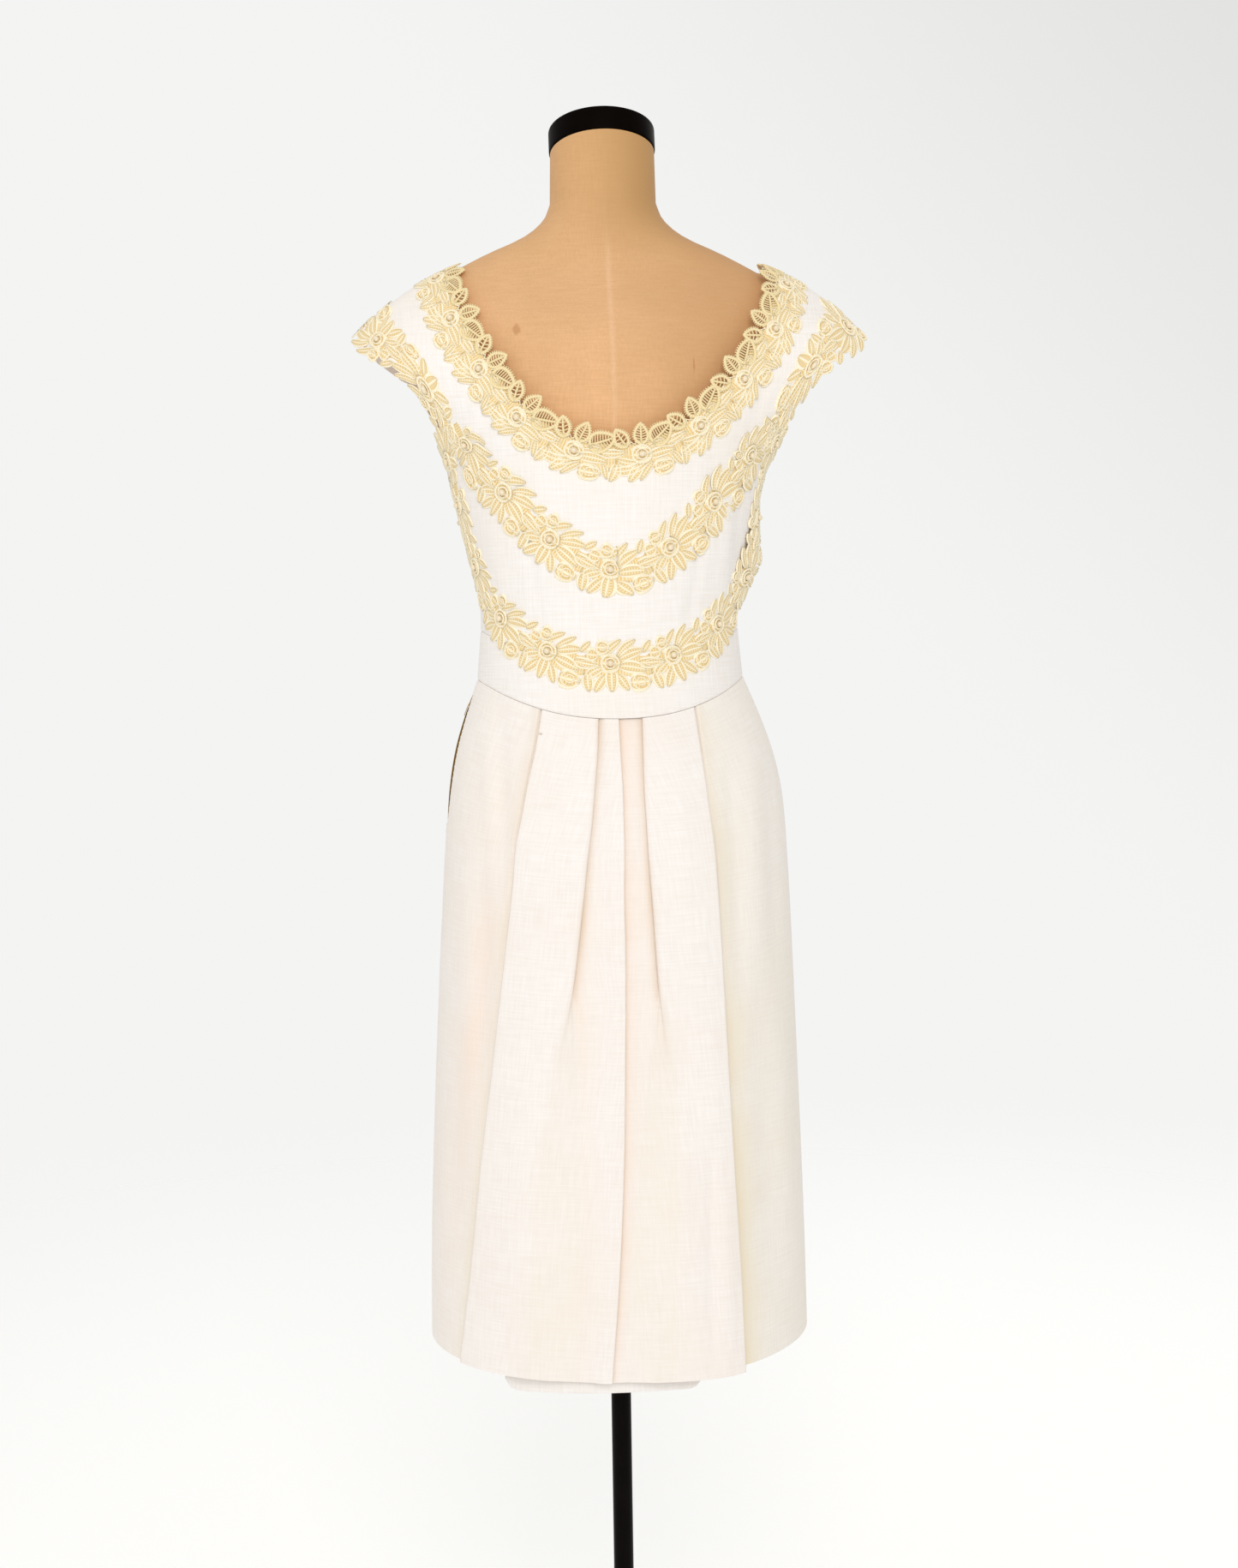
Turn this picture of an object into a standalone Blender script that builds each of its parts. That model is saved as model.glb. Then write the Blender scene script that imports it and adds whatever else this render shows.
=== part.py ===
"""Cocktail dress on a limbless dress form, as solid pieces in metres, +Z up, standing on z = 0.

The dress faces -Y. Its scooped, lace-trimmed and pleated back faces +Y. The wearer's left is +X.
Cloth is a wall built from sections: each panel is a grid of points on the worn surface, thickened
outwards. Lace is a thicker wall made from the same surface, moved out, with leaf-shaped edges.
"""

import math

import bmesh
import bpy
import numpy as np

CLOTH = 0.0012
SEAM_GAP = 0.0003
HALF_GAP = SEAM_GAP / 2

# The base, pole and form carry the dress.
BASE_RADIUS = 0.170
BASE_THICK = 0.012
HUB_RADIUS = 0.024
HUB_HEIGHT = 0.035
POLE_RADIUS = 0.0095
FORM_BOTTOM = 0.800
COLLAR_HEIGHT = 0.030
NECK_RADIUS = 0.0475
NECK_TOP = 1.5465
NECK_LEAN = math.radians(15)
CAP_RADIUS = 0.0485
CAP_HEIGHT = 0.023

# Rings of the form, bottom to top: height, half width, depth to the back and depth to the front.
FORM_RINGS = [
    # z, half_width, back, front
    (0.800, 0.1400, 0.0960, 0.0980),
    (0.806, 0.1475, 0.1030, 0.1050),
    (0.835, 0.1520, 0.1065, 0.1085),
    (0.880, 0.1535, 0.1060, 0.1095),
    (0.925, 0.1510, 0.1035, 0.1075),
    (0.968, 0.1460, 0.1000, 0.1040),
    (1.005, 0.1370, 0.0950, 0.1000),
    (1.040, 0.1230, 0.0880, 0.0945),
    (1.070, 0.1140, 0.0840, 0.0905),
    (1.100, 0.1115, 0.0825, 0.0885),
    (1.130, 0.1125, 0.0835, 0.0910),
    (1.160, 0.1170, 0.0870, 0.1005),
    (1.190, 0.1235, 0.0915, 0.1095),
    (1.220, 0.1300, 0.0950, 0.1155),
    (1.250, 0.1365, 0.0970, 0.1165),
    (1.280, 0.1430, 0.0980, 0.1105),
    (1.310, 0.1510, 0.0970, 0.1005),
    (1.340, 0.1610, 0.0930, 0.0890),
    (1.370, 0.1705, 0.0850, 0.0770),
    (1.395, 0.1750, 0.0745, 0.0660),
    (1.415, 0.1710, 0.0620, 0.0570),
    (1.432, 0.1540, 0.0530, 0.0505),
    (1.445, 0.1310, 0.0495, 0.0485),
    (1.457, 0.1070, 0.0480, 0.0480),
    (1.470, 0.0770, 0.0478, 0.0478),
    (1.486, 0.0560, 0.0476, 0.0476),
    (1.502, 0.0485, 0.0475, 0.0475),
]
FORM_SIDES = 28

# The bodice and the midriff yoke, section by section from the yoke's lower seam to the shoulder.
# Each section is a flattened arc from the centre line to its outer end, which lies on the side seam
# and then on the sleeve's hem. Depth is away from the side plane, y = 0. A section bends down towards
# its outer end as x to the power of its drop, so the shoulders slope and the cap sleeves curve.
BACK_SECTIONS = [
    # centre_z, centre_depth, outer_x, outer_depth, outer_z, drop
    (1.037, 0.0985, 0.1225, 0.0000, 1.070, 2.28),
    (1.083, 0.0925, 0.1185, 0.0000, 1.115, 2.28),
    (1.105, 0.0925, 0.1185, 0.0000, 1.135, 2.28),
    (1.135, 0.0955, 0.1225, 0.0000, 1.160, 2.28),
    (1.170, 0.0995, 0.1290, 0.0000, 1.190, 2.28),
    (1.205, 0.1025, 0.1360, 0.0000, 1.220, 2.28),
    (1.240, 0.1045, 0.1430, 0.0000, 1.250, 2.28),
    (1.264, 0.1045, 0.1495, 0.0240, 1.270, 2.28),
    (1.287, 0.1040, 0.1580, 0.0430, 1.294, 2.28),
    (1.314, 0.1020, 0.1670, 0.0530, 1.315, 2.28),
    (1.349, 0.0930, 0.1800, 0.0560, 1.334, 2.28),
    (1.396, 0.0765, 0.1970, 0.0520, 1.348, 2.28),
    (1.440, 0.0545, 0.2130, 0.0400, 1.363, 2.45),
    (1.456, 0.0297, 0.2255, 0.0240, 1.375, 2.8),
    (1.4605, 0.0150, 0.2297, 0.0120, 1.3835, 3.0),
    (1.462, 0.0005, 0.2310, 0.0004, 1.386, 3.1),
]
FRONT_SECTIONS = [
    # centre_z, centre_depth, outer_x, outer_depth, outer_z, drop
    (1.037, 0.1030, 0.1225, 0.0000, 1.070, 2.28),
    (1.083, 0.0975, 0.1185, 0.0000, 1.115, 2.28),
    (1.105, 0.0990, 0.1185, 0.0000, 1.135, 2.28),
    (1.135, 0.1070, 0.1225, 0.0000, 1.160, 2.28),
    (1.170, 0.1165, 0.1290, 0.0000, 1.190, 2.28),
    (1.205, 0.1230, 0.1360, 0.0000, 1.220, 2.28),
    (1.240, 0.1245, 0.1430, 0.0000, 1.250, 2.28),
    (1.272, 0.1205, 0.1495, 0.0240, 1.270, 2.28),
    (1.306, 0.1125, 0.1580, 0.0430, 1.294, 2.28),
    (1.340, 0.1020, 0.1670, 0.0530, 1.315, 2.28),
    (1.375, 0.0890, 0.1800, 0.0560, 1.334, 2.28),
    (1.407, 0.0755, 0.1970, 0.0520, 1.348, 2.28),
    (1.440, 0.0545, 0.2130, 0.0400, 1.363, 2.45),
    (1.456, 0.0297, 0.2255, 0.0240, 1.375, 2.8),
    (1.4605, 0.0150, 0.2297, 0.0120, 1.3835, 3.0),
    (1.462, 0.0005, 0.2310, 0.0004, 1.386, 3.1),
]
WAIST_SECTION = 1
UNDERARM_SECTION = 6
SHOULDER_SECTION = 15
# Where the neckline cuts each section. It starts on the centre line, at the first row's section.
BACK_NECKLINE = [
    # section, x
    (7.45, 0.000),
    (7.60, 0.027),
    (8.00, 0.051),
    (9.00, 0.087),
    (10.00, 0.111),
    (11.00, 0.1315),
    (12.00, 0.1455),
    (13.00, 0.1505),
    (15.00, 0.1515),
]
FRONT_NECKLINE = [
    # section, x
    (9.34, 0.000),
    (9.50, 0.030),
    (10.00, 0.076),
    (11.00, 0.112),
    (12.00, 0.138),
    (13.00, 0.1495),
    (15.00, 0.1515),
]
# At the shoulders the dress has slid a little towards the wearer's right.
SHOULDER_SLIP = 0.006
SLIP_FROM = 1.28
SLIP_TO = 1.40
PANEL_COLUMNS = 10

# The skirt hangs from the yoke's lower seam. Dip is how far the middle lies below the sides, and the
# seam rises to the sides with the same power as the yoke's drop.
SEAM_RISE = 2.28
SKIRT_LEVELS = [
    # side_z, dip, half_width, back, front
    (1.070, 0.033, 0.1225, 0.0985, 0.1030),
    (1.032, 0.030, 0.1375, 0.1035, 0.1070),
    (1.000, 0.026, 0.1475, 0.1080, 0.1100),
    (0.968, 0.022, 0.1540, 0.1125, 0.1125),
    (0.936, 0.018, 0.1575, 0.1155, 0.1150),
    (0.900, 0.014, 0.1600, 0.1180, 0.1170),
    (0.840, 0.009, 0.1635, 0.1210, 0.1185),
    (0.740, 0.004, 0.1685, 0.1260, 0.1210),
    (0.640, 0.001, 0.1730, 0.1310, 0.1240),
    (0.540, 0.000, 0.1770, 0.1350, 0.1270),
    (0.445, 0.000, 0.1795, 0.1380, 0.1300),
]
SKIRT_COLUMNS = 16
PLACKET_TOP = 1.060
PLACKET_BOTTOM = 0.936
PLACKET_OPEN = 0.0016

# The pleats of the skirt's back, level by level with the table above. The outer fold lies over the
# side panel, the tuck faces the centre and opens out further down, and the centre folds meet.
# A minus tuck_depth is a tuck that has opened into a slope. Distances from the centre line are in x.
LEFT_PLEAT = [
    # outer_fold, tuck, tuck_depth, centre, lift, underlay_edge
    (0.072, 0.019, 0.0140, 0.002, 0.0000, 0.040),
    (0.079, 0.021, 0.0140, 0.000, 0.0005, 0.043),
    (0.084, 0.024, 0.0130, -0.001, 0.0010, 0.046),
    (0.088, 0.027, 0.0120, -0.001, 0.0015, 0.049),
    (0.093, 0.031, 0.0100, -0.001, 0.0020, 0.052),
    (0.097, 0.035, 0.0080, -0.001, 0.0025, 0.056),
    (0.105, 0.042, 0.0045, -0.001, 0.0030, 0.063),
    (0.117, 0.057, -0.0060, 0.001, 0.0035, 0.076),
    (0.130, 0.066, -0.0120, 0.003, 0.0040, 0.088),
    (0.142, 0.074, -0.0160, 0.008, 0.0045, 0.101),
    (0.152, 0.080, -0.0180, 0.016, 0.0050, 0.113),
]
RIGHT_PLEAT = [
    # outer_fold, tuck, tuck_depth, centre, lift, underlay_edge
    (0.070, 0.021, 0.0140, 0.000, 0.0000, 0.040),
    (0.0725, 0.021, 0.0140, 0.002, 0.0010, 0.041),
    (0.076, 0.021, 0.0130, 0.003, 0.0020, 0.043),
    (0.079, 0.022, 0.0120, 0.003, 0.0030, 0.045),
    (0.082, 0.023, 0.0100, 0.003, 0.0045, 0.047),
    (0.085, 0.025, 0.0080, 0.003, 0.0060, 0.049),
    (0.088, 0.028, 0.0045, 0.003, 0.0075, 0.052),
    (0.0925, 0.033, -0.0060, 0.001, 0.0095, 0.055),
    (0.0965, 0.031, -0.0120, -0.001, 0.0110, 0.058),
    (0.0995, 0.027, -0.0160, -0.006, 0.0125, 0.061),
    (0.103, 0.024, -0.0180, -0.014, 0.0140, 0.063),
]
FOLD_UNDER = 0.022
PLEAT_PITCH_TOP = 0.0016
PLEAT_PITCH_HEM = 0.0030
UNDERLAY_DROP = 0.009
UNDERLAY_COLUMNS = 9

# Guipure lace: a repeat of leaves round one pearl rosette. Reaches are measured from each band's own
# line: the cloth's edge at the neckline and the sleeve hem, and the middle on the two lower bands.
LACE_THICK = 0.0014
LACE_LIFT = 0.0011
LACE_REPEAT = 0.060
LACE_MOTIF = [
    # inner_reach, outer_reach, inner_relief, middle_relief, outer_relief, open
    (1.00, 0.72, 0.0009, 0.0012, 0.0006, False),
    (0.78, 1.00, 0.0006, 0.0005, 0.0010, False),
    (0.96, 0.80, 0.0010, 0.0008, 0.0005, True),
    (0.62, 0.94, 0.0003, 0.0010, 0.0009, True),
    (0.88, 0.66, 0.0008, 0.0006, 0.0004, False),
    (0.58, 0.98, 0.0003, 0.0009, 0.0010, False),
]
NECK_FREE = -0.0185
NECK_ON = 0.0290
BAND_REACH = 0.0205
BAND_TAPER_START = 6.0
BAND_TAPER_END = 7.7
SLEEVE_FREE = -0.0060
SLEEVE_ON_NARROW = 0.015
SLEEVE_ON_BROAD = 0.036
SLEEVE_NARROW_SECTION = 9.5
# Middle lines of the two lower bands, from the centre line out.
LACE_PATHS = {
    "back": {
        # (across, section)
        "upper": [(0, 3.85), (0.15, 4.15), (0.31, 4.7), (0.51, 5.85), (0.65, 6.5), (0.73, 7.1), (0.765, 7.7)],
        "lower": [(0, 1.0), (0.30, 1.1), (0.56, 1.65), (0.72, 2.3), (0.82, 3.1), (0.875, 4.2), (0.885, 5.3)],
    },
    "front": {
        "upper": [(0, 4.35), (0.15, 4.6), (0.31, 5.1), (0.51, 6.0), (0.65, 6.6), (0.73, 7.1), (0.765, 7.7)],
        "lower": [(0, 1.0), (0.30, 1.1), (0.56, 1.65), (0.72, 2.3), (0.82, 3.1), (0.875, 4.2), (0.885, 5.3)],
    },
}
# The lower band's right end has come loose from the back and stands off the side of the bodice.
LOOSE_LIFT = 0.013
LOOSE_FROM_X = 0.108
LOOSE_BLEND_X = 0.012
LOOSE_TOP_Z = 1.235
LOOSE_FULL_Z = 1.175
LOOSE_BOTTOM_Z = 1.125
MIRROR = np.array((-1.0, 1.0, 1.0))
BACK_CUT = (BACK_SECTIONS, BACK_NECKLINE)
FRONT_CUT = (FRONT_SECTIONS, FRONT_NECKLINE)


def clear_scene():
    for obj in list(bpy.data.objects):
        bpy.data.objects.remove(obj, do_unlink=True)


def new_collection(name):
    collection = bpy.data.collections.new(name)
    bpy.context.scene.collection.children.link(collection)
    return collection


def new_material(name, colour, roughness, sheen=0.0):
    material = bpy.data.materials.new(name)
    material.use_nodes = True
    shader = material.node_tree.nodes["Principled BSDF"]
    shader.inputs["Base Color"].default_value = (*colour, 1.0)
    shader.inputs["Roughness"].default_value = roughness
    shader.inputs["Metallic"].default_value = 0.0
    shader.inputs["Sheen Weight"].default_value = sheen
    material.diffuse_color = (*colour, 1.0)
    return material


def mesh_object(name, bm, material):
    if bm.calc_volume(signed=True) < 0:
        bmesh.ops.reverse_faces(bm, faces=bm.faces)
    mesh = bpy.data.meshes.new(name)
    bm.to_mesh(mesh)
    bm.free()
    mesh.shade_smooth()
    mesh.set_sharp_from_angle(angle=math.radians(40))
    mesh.materials.append(material)
    obj = bpy.data.objects.new(name, mesh)
    PART.objects.link(obj)
    return obj


def slipped(points):
    """The points of the dress, slid sideways at the shoulders as it hangs on the form."""
    share = np.clip((points[..., 2] - SLIP_FROM) / (SLIP_TO - SLIP_FROM), 0, 1)
    moved = points.copy()
    moved[..., 0] -= SHOULDER_SLIP * share**2 * (3 - 2 * share)
    return moved


def wall(name, outer, inner, material, open_cells=()):
    """A closed wall between two grids of points of the same shape, without the cells that are open."""
    outer, inner = slipped(outer), slipped(inner)
    rows, columns = outer.shape[:2]
    kept = [
        (r, c)
        for r in range(rows - 1)
        for c in range(columns - 1)
        if (r, c) not in open_cells
    ]
    bm = bmesh.new()
    sides = [{}, {}]

    def corner(side, key):
        if key not in sides[side]:
            sides[side][key] = bm.verts.new((outer, inner)[side][key])
        return sides[side][key]

    borders = {}
    for r, c in kept:
        keys = [(r, c), (r, c + 1), (r + 1, c + 1), (r + 1, c)]
        bm.faces.new([corner(0, key) for key in keys])
        bm.faces.new([corner(1, key) for key in reversed(keys)])
        for start, end in zip(keys, keys[1:] + keys[:1]):
            if (end, start) in borders:
                del borders[end, start]
            else:
                borders[start, end] = True
    for start, end in borders:
        bm.faces.new([corner(0, end), corner(0, start), corner(1, start), corner(1, end)])
    return mesh_object(name, bm, material)


def row_at(table, position):
    """The table's row at a position between two rows, on a smooth curve through all of them."""
    position = min(max(position, 0.0), len(table) - 1.0)
    index = min(int(position), len(table) - 2)
    t = position - index
    values = np.array(table, dtype=float)
    before = values[max(index - 1, 0)]
    start, end = values[index], values[index + 1]
    after = values[min(index + 2, len(table) - 1)]
    leave = (end - before) / 2
    arrive = (after - start) / 2
    return (
        (2 * t**3 - 3 * t**2 + 1) * start
        + (t**3 - 2 * t**2 + t) * leave
        + (3 * t**2 - 2 * t**3) * end
        + (t**3 - t**2) * arrive
    )


def neck_x(neckline, section):
    """The neckline's x at a section: a smooth curve that leaves the centre line level."""
    first = neckline[0][0]
    if section <= first:
        return 0.0
    roots = [math.sqrt(row[0] - first) for row in neckline]
    xs = [row[1] for row in neckline]
    root = math.sqrt(section - first)
    index = min(int(np.searchsorted(roots, root, side="right")) - 1, len(xs) - 2)
    width = roots[index + 1] - roots[index]
    t = (root - roots[index]) / width
    slopes = np.gradient(xs, roots) * width
    return (
        (2 * t**3 - 3 * t**2 + 1) * xs[index]
        + (t**3 - 2 * t**2 + t) * slopes[index]
        + (3 * t**2 - 2 * t**3) * xs[index + 1]
        + (t**3 - t**2) * slopes[index + 1]
    )


def shell_point(sections, facing, angle, section):
    """A place on the inner face of the bodice's full shape, before the neckline is cut out of it."""
    centre_z, depth, outer_x, outer_depth, outer_z, drop = row_at(sections, section)
    half_width = outer_x / math.sqrt(1 - min(max(outer_depth / depth, 0.0), 0.9) ** 2)
    x = half_width * math.sin(angle)
    z = centre_z + (outer_z - centre_z) * (abs(x) / outer_x) ** drop
    return np.array((x, facing * depth * math.cos(angle), z))


def angle_at(cut, across, section):
    """The angle of a place a share of the way across a section, 0 at the inner end to 1 outer."""
    sections, neckline = cut
    _, depth, outer_x, outer_depth, _, _ = row_at(sections, section)
    half_width = outer_x / math.sqrt(1 - min(max(outer_depth / depth, 0.0), 0.9) ** 2)
    first = math.asin(neck_x(neckline, section) / half_width)
    last = math.asin(outer_x / half_width)
    return first + (last - first) * across


def body_point(cut, facing, across, section):
    """A place on the bodice's inner face, from 0 at the inner end of a section to 1 at its outer."""
    return shell_point(cut[0], facing, angle_at(cut, across, section), section)


def skirt_point(facing, angle, level):
    """The skirt's inner face. The angle runs from 0 at the centre to pi / 2 at the left side seam."""
    side_z, dip, half_width, back, front = row_at(SKIRT_LEVELS, level)
    depth = back if facing > 0 else front
    return np.array(
        (
            half_width * math.sin(angle),
            facing * depth * math.cos(angle),
            side_z - dip * (1 - abs(math.sin(angle)) ** SEAM_RISE),
        )
    )


def skirt_outward(facing, angle, level):
    """The level direction that points straight out of the skirt."""
    _, _, half_width, back, front = row_at(SKIRT_LEVELS, level)
    depth = back if facing > 0 else front
    normal = np.array((math.sin(angle) / half_width, facing * math.cos(angle) / depth, 0.0))
    return normal / np.linalg.norm(normal)


def outward(point_of, first, second):
    """The surface's unit normal that points away from the form's axis."""
    step = 1e-4
    along = point_of(first + step, second) - point_of(first - step, second)
    up = point_of(first, second + step) - point_of(first, second - step)
    normal = np.cross(along, up)
    normal /= np.linalg.norm(normal)
    here = point_of(first, second)
    axis = np.array((0.0, 0.0, min(here[2], 1.30)))
    return normal if normal @ (here - axis) > 0 else -normal


def panel(name, point_of, firsts, seconds, material):
    """A cloth wall over a grid of places on a surface, from its inner face outwards."""
    inner = np.array([[point_of(a, b) for a in firsts] for b in seconds])
    normals = np.array([[outward(point_of, a, b) for a in firsts] for b in seconds])
    return wall(name, inner + CLOTH * normals, inner, material)


def trimmed(start, end, count, gap_start, gap_end):
    """Places from start to end, with the first and last moved in by half a seam's gap."""
    places = np.linspace(start, end, count)
    places[0] += gap_start
    places[-1] -= gap_end
    return places


def bodice_rows(neckline, row_gap):
    """Sections from the waist seam to the shoulder, with one just where the neckline starts."""
    start = neckline[0][0]
    below = np.linspace(WAIST_SECTION, start, round(start) + 1)
    above = start + (SHOULDER_SECTION - start) * np.linspace(0, 1, 11)[1:] ** 1.2
    rows = np.concatenate([below, above])
    rows[0] += row_gap
    rows[-1] -= 0.02
    return rows


def make_bodice_and_yoke():
    gap = HALF_GAP / 0.15
    row_gap = HALF_GAP / 0.035
    back_seam = HALF_GAP / 0.17
    yoke_rows = trimmed(0, WAIST_SECTION, 4, 0, row_gap)
    back_rows = bodice_rows(BACK_NECKLINE, row_gap)
    front_rows = bodice_rows(FRONT_NECKLINE, row_gap)
    for hand, side in ((1, "left"), (-1, "right")):

        def back(across, section, hand=hand):
            point = body_point(BACK_CUT, 1, across, section)
            point[0] *= hand
            return point

        columns = trimmed(0, 1, PANEL_COLUMNS + 1, back_seam, gap)
        panel(f"bodice_back_{side}", back, columns, back_rows, LINEN)
        panel(f"yoke_back_{side}", back, columns, yoke_rows, LINEN)

    def front(across, section):
        point = body_point(FRONT_CUT, -1, abs(across), section)
        point[0] *= math.copysign(1, across)
        return point

    columns = trimmed(-1, 1, 2 * PANEL_COLUMNS + 1, gap, gap)
    panel("yoke_front", front, columns, yoke_rows, LINEN)
    make_front_bodice(front_rows, gap)


def make_front_bodice(rows, gap):
    """The front in one piece below the neckline, with a strap of its own on each side above it."""
    half = trimmed(0, 1, PANEL_COLUMNS + 1, 0, gap)

    def front(across, section):
        return body_point(FRONT_CUT, -1, across, section)

    inner = np.array([[front(a, b) for a in half] for b in rows])
    normals = np.array([[outward(front, a, b) for a in half] for b in rows])
    outer = inner + CLOTH * normals
    outer = np.concatenate([(outer * MIRROR)[:, ::-1], outer], axis=1)
    inner = np.concatenate([(inner * MIRROR)[:, ::-1], inner], axis=1)
    middle = PANEL_COLUMNS
    open_cells = [
        (r, middle) for r in range(len(rows) - 1) if inner[r + 1, middle + 1][0] > 1e-6
    ]
    bodice = wall("bodice_front", outer, inner, LINEN, open_cells)
    weld(bodice)


def weld(obj):
    """Merges the two halves where they meet on the centre line."""
    bm = bmesh.new()
    bm.from_mesh(obj.data)
    bmesh.ops.remove_doubles(bm, verts=bm.verts, dist=1e-6)
    bm.to_mesh(obj.data)
    bm.free()


def arc_lengths(level):
    """Angles and the arc lengths from the centre line to them, round the skirt's back at a level."""
    angles = np.linspace(-math.pi / 2, math.pi / 2, 361)
    points = np.array([skirt_point(1, angle, level) for angle in angles])
    steps = np.linalg.norm(np.diff(points[:, :2], axis=0), axis=1)
    lengths = np.concatenate([[0.0], np.cumsum(steps)])
    return angles, lengths - lengths[180]


def placket(z):
    """How far each side of the left seam stands back at the placket."""
    share = (z - PLACKET_BOTTOM) / (PLACKET_TOP - PLACKET_BOTTOM)
    if not 0 < share < 1:
        return 0.0
    return PLACKET_OPEN * math.sin(math.pi * share) ** 0.5


def pleat_section(pleat, level, side_end):
    """The folded cloth of one half of the skirt's back at one level, as (x, outward) places."""
    outer_fold, tuck, tuck_depth, centre, lift, underlay_edge = pleat
    share = level / (len(SKIRT_LEVELS) - 1)
    pitch = PLEAT_PITCH_TOP + (PLEAT_PITCH_HEM - PLEAT_PITCH_TOP) * share
    under = lift - 2 * pitch
    half_width = SKIRT_LEVELS[level][2]
    start = math.asin(side_end / half_width)
    stop = math.asin(min((outer_fold + 0.014) / half_width, 0.97))
    side = [(half_width * math.sin(a), 0.0) for a in np.linspace(start, stop, 6)]
    inner_edge = outer_fold - FOLD_UNDER
    low = -2 * pitch * (1 - 0.6 * share)
    panel_step = (tuck - outer_fold) / 4
    recess_step = (centre - tuck - tuck_depth) / 2
    back_step = (underlay_edge - centre) / 3
    return [
        *side,
        (min(outer_fold + 0.002, side[-1][0] - 0.001), under),
        (inner_edge, under),
        (inner_edge, under + pitch),
        (outer_fold, under + pitch),
        (outer_fold, lift),
        (outer_fold + panel_step, lift),
        (outer_fold + 2 * panel_step, lift * 0.85),
        (outer_fold + 3 * panel_step, lift * 0.6),
        (tuck, lift * 0.4),
        (tuck, low / 2),
        (tuck + tuck_depth, low / 2),
        (tuck + tuck_depth, low),
        (tuck + tuck_depth + recess_step, low),
        (centre, low),
        (centre, low - pitch),
        (centre + back_step, low - pitch),
        (centre + 2 * back_step, low - pitch),
        (underlay_edge, low - pitch),
    ]


def offset_both_ways(section, distance):
    """The two outlines that lie a distance to each side of a polyline, with mitred corners."""
    points = np.array(section)
    steps = np.diff(points, axis=0)
    steps /= np.linalg.norm(steps, axis=1)[:, None]
    normals = np.stack([-steps[:, 1], steps[:, 0]], axis=1)
    before = np.concatenate([normals[:1], normals])
    after = np.concatenate([normals, normals[-1:]])
    middle = before + after
    middle /= np.linalg.norm(middle, axis=1)[:, None]
    reach = distance / np.maximum((middle * after).sum(axis=1), 0.5)
    return points + middle * reach[:, None], points - middle * reach[:, None]


def make_pleated_half(name, pleats, hand):
    """One half of the skirt's back: its side panel, folds and the return behind the centre fold."""
    outlines = [[], []]
    for level, pleat in enumerate(pleats):
        angles, lengths = arc_lengths(level)
        half_width = SKIRT_LEVELS[level][2]
        open_by = placket(SKIRT_LEVELS[level][0]) if hand > 0 else 0.0
        side_end = half_width * math.cos((HALF_GAP + open_by) / 0.09)
        section = pleat_section(pleat, level, side_end)
        on_arc = [
            (np.interp(math.asin(min(x / half_width, 1)), angles, lengths), lift + CLOTH / 2)
            for x, lift in section
        ]
        for outline, places in zip(outlines, offset_both_ways(on_arc, CLOTH / 2)):
            row = []
            for length, lift in places:
                angle = np.interp(length, lengths, angles)
                point = skirt_point(1, angle, level) + lift * skirt_outward(1, angle, level)
                point[0] *= hand
                row.append(point)
            outline.append(row)
    top_gap = np.array((0.0, 0.0, SEAM_GAP))
    for outline in outlines:
        outline[0] = [point - top_gap for point in outline[0]]
    wall(name, np.array(outlines[0]), np.array(outlines[1]), LINEN)


def make_underlay():
    """The piece behind the inverted pleat. It hangs a little below the rest of the hem."""
    grids = [[], []]
    count = len(SKIRT_LEVELS)
    for level, (left, right) in enumerate(zip(LEFT_PLEAT, RIGHT_PLEAT)):
        share = level / (count - 1)
        pitch = PLEAT_PITCH_TOP + (PLEAT_PITCH_HEM - PLEAT_PITCH_TOP) * share
        low = -2 * pitch * (1 - 0.6 * share)
        lift = low - 2 * pitch - SEAM_GAP
        half_width = SKIRT_LEVELS[level][2]
        places = np.linspace(-right[5], left[5], UNDERLAY_COLUMNS + 1)
        rows = [[], []]
        for x in places:
            angle = math.asin(x / half_width)
            point = skirt_point(1, angle, level)
            normal = skirt_outward(1, angle, level)
            drop = UNDERLAY_DROP if level == count - 1 else SEAM_GAP if level == 0 else 0.0
            point[2] -= drop
            rows[0].append(point + (lift + CLOTH) * normal)
            rows[1].append(point + lift * normal)
        grids[0].append(rows[0])
        grids[1].append(rows[1])
    wall("skirt_underlay", np.array(grids[0]), np.array(grids[1]), LINEN)


def make_skirt_front():
    """The plain front of the skirt, with its left edge standing back at the placket."""
    grids = [[], []]
    for level, row in enumerate(SKIRT_LEVELS):
        open_by = placket(row[0])
        left = math.pi / 2 - (HALF_GAP + open_by) / 0.09
        right = -math.pi / 2 + HALF_GAP / 0.09
        rows = [[], []]
        for angle in np.linspace(right, left, SKIRT_COLUMNS + 1):
            point = skirt_point(-1, angle, level)
            if level == 0:
                point[2] -= SEAM_GAP
            rows[1].append(point)
            rows[0].append(point + CLOTH * skirt_outward(-1, angle, level))
        grids[0].append(rows[0])
        grids[1].append(rows[1])
    wall("skirt_front", np.array(grids[0]), np.array(grids[1]), LINEN)


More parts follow.
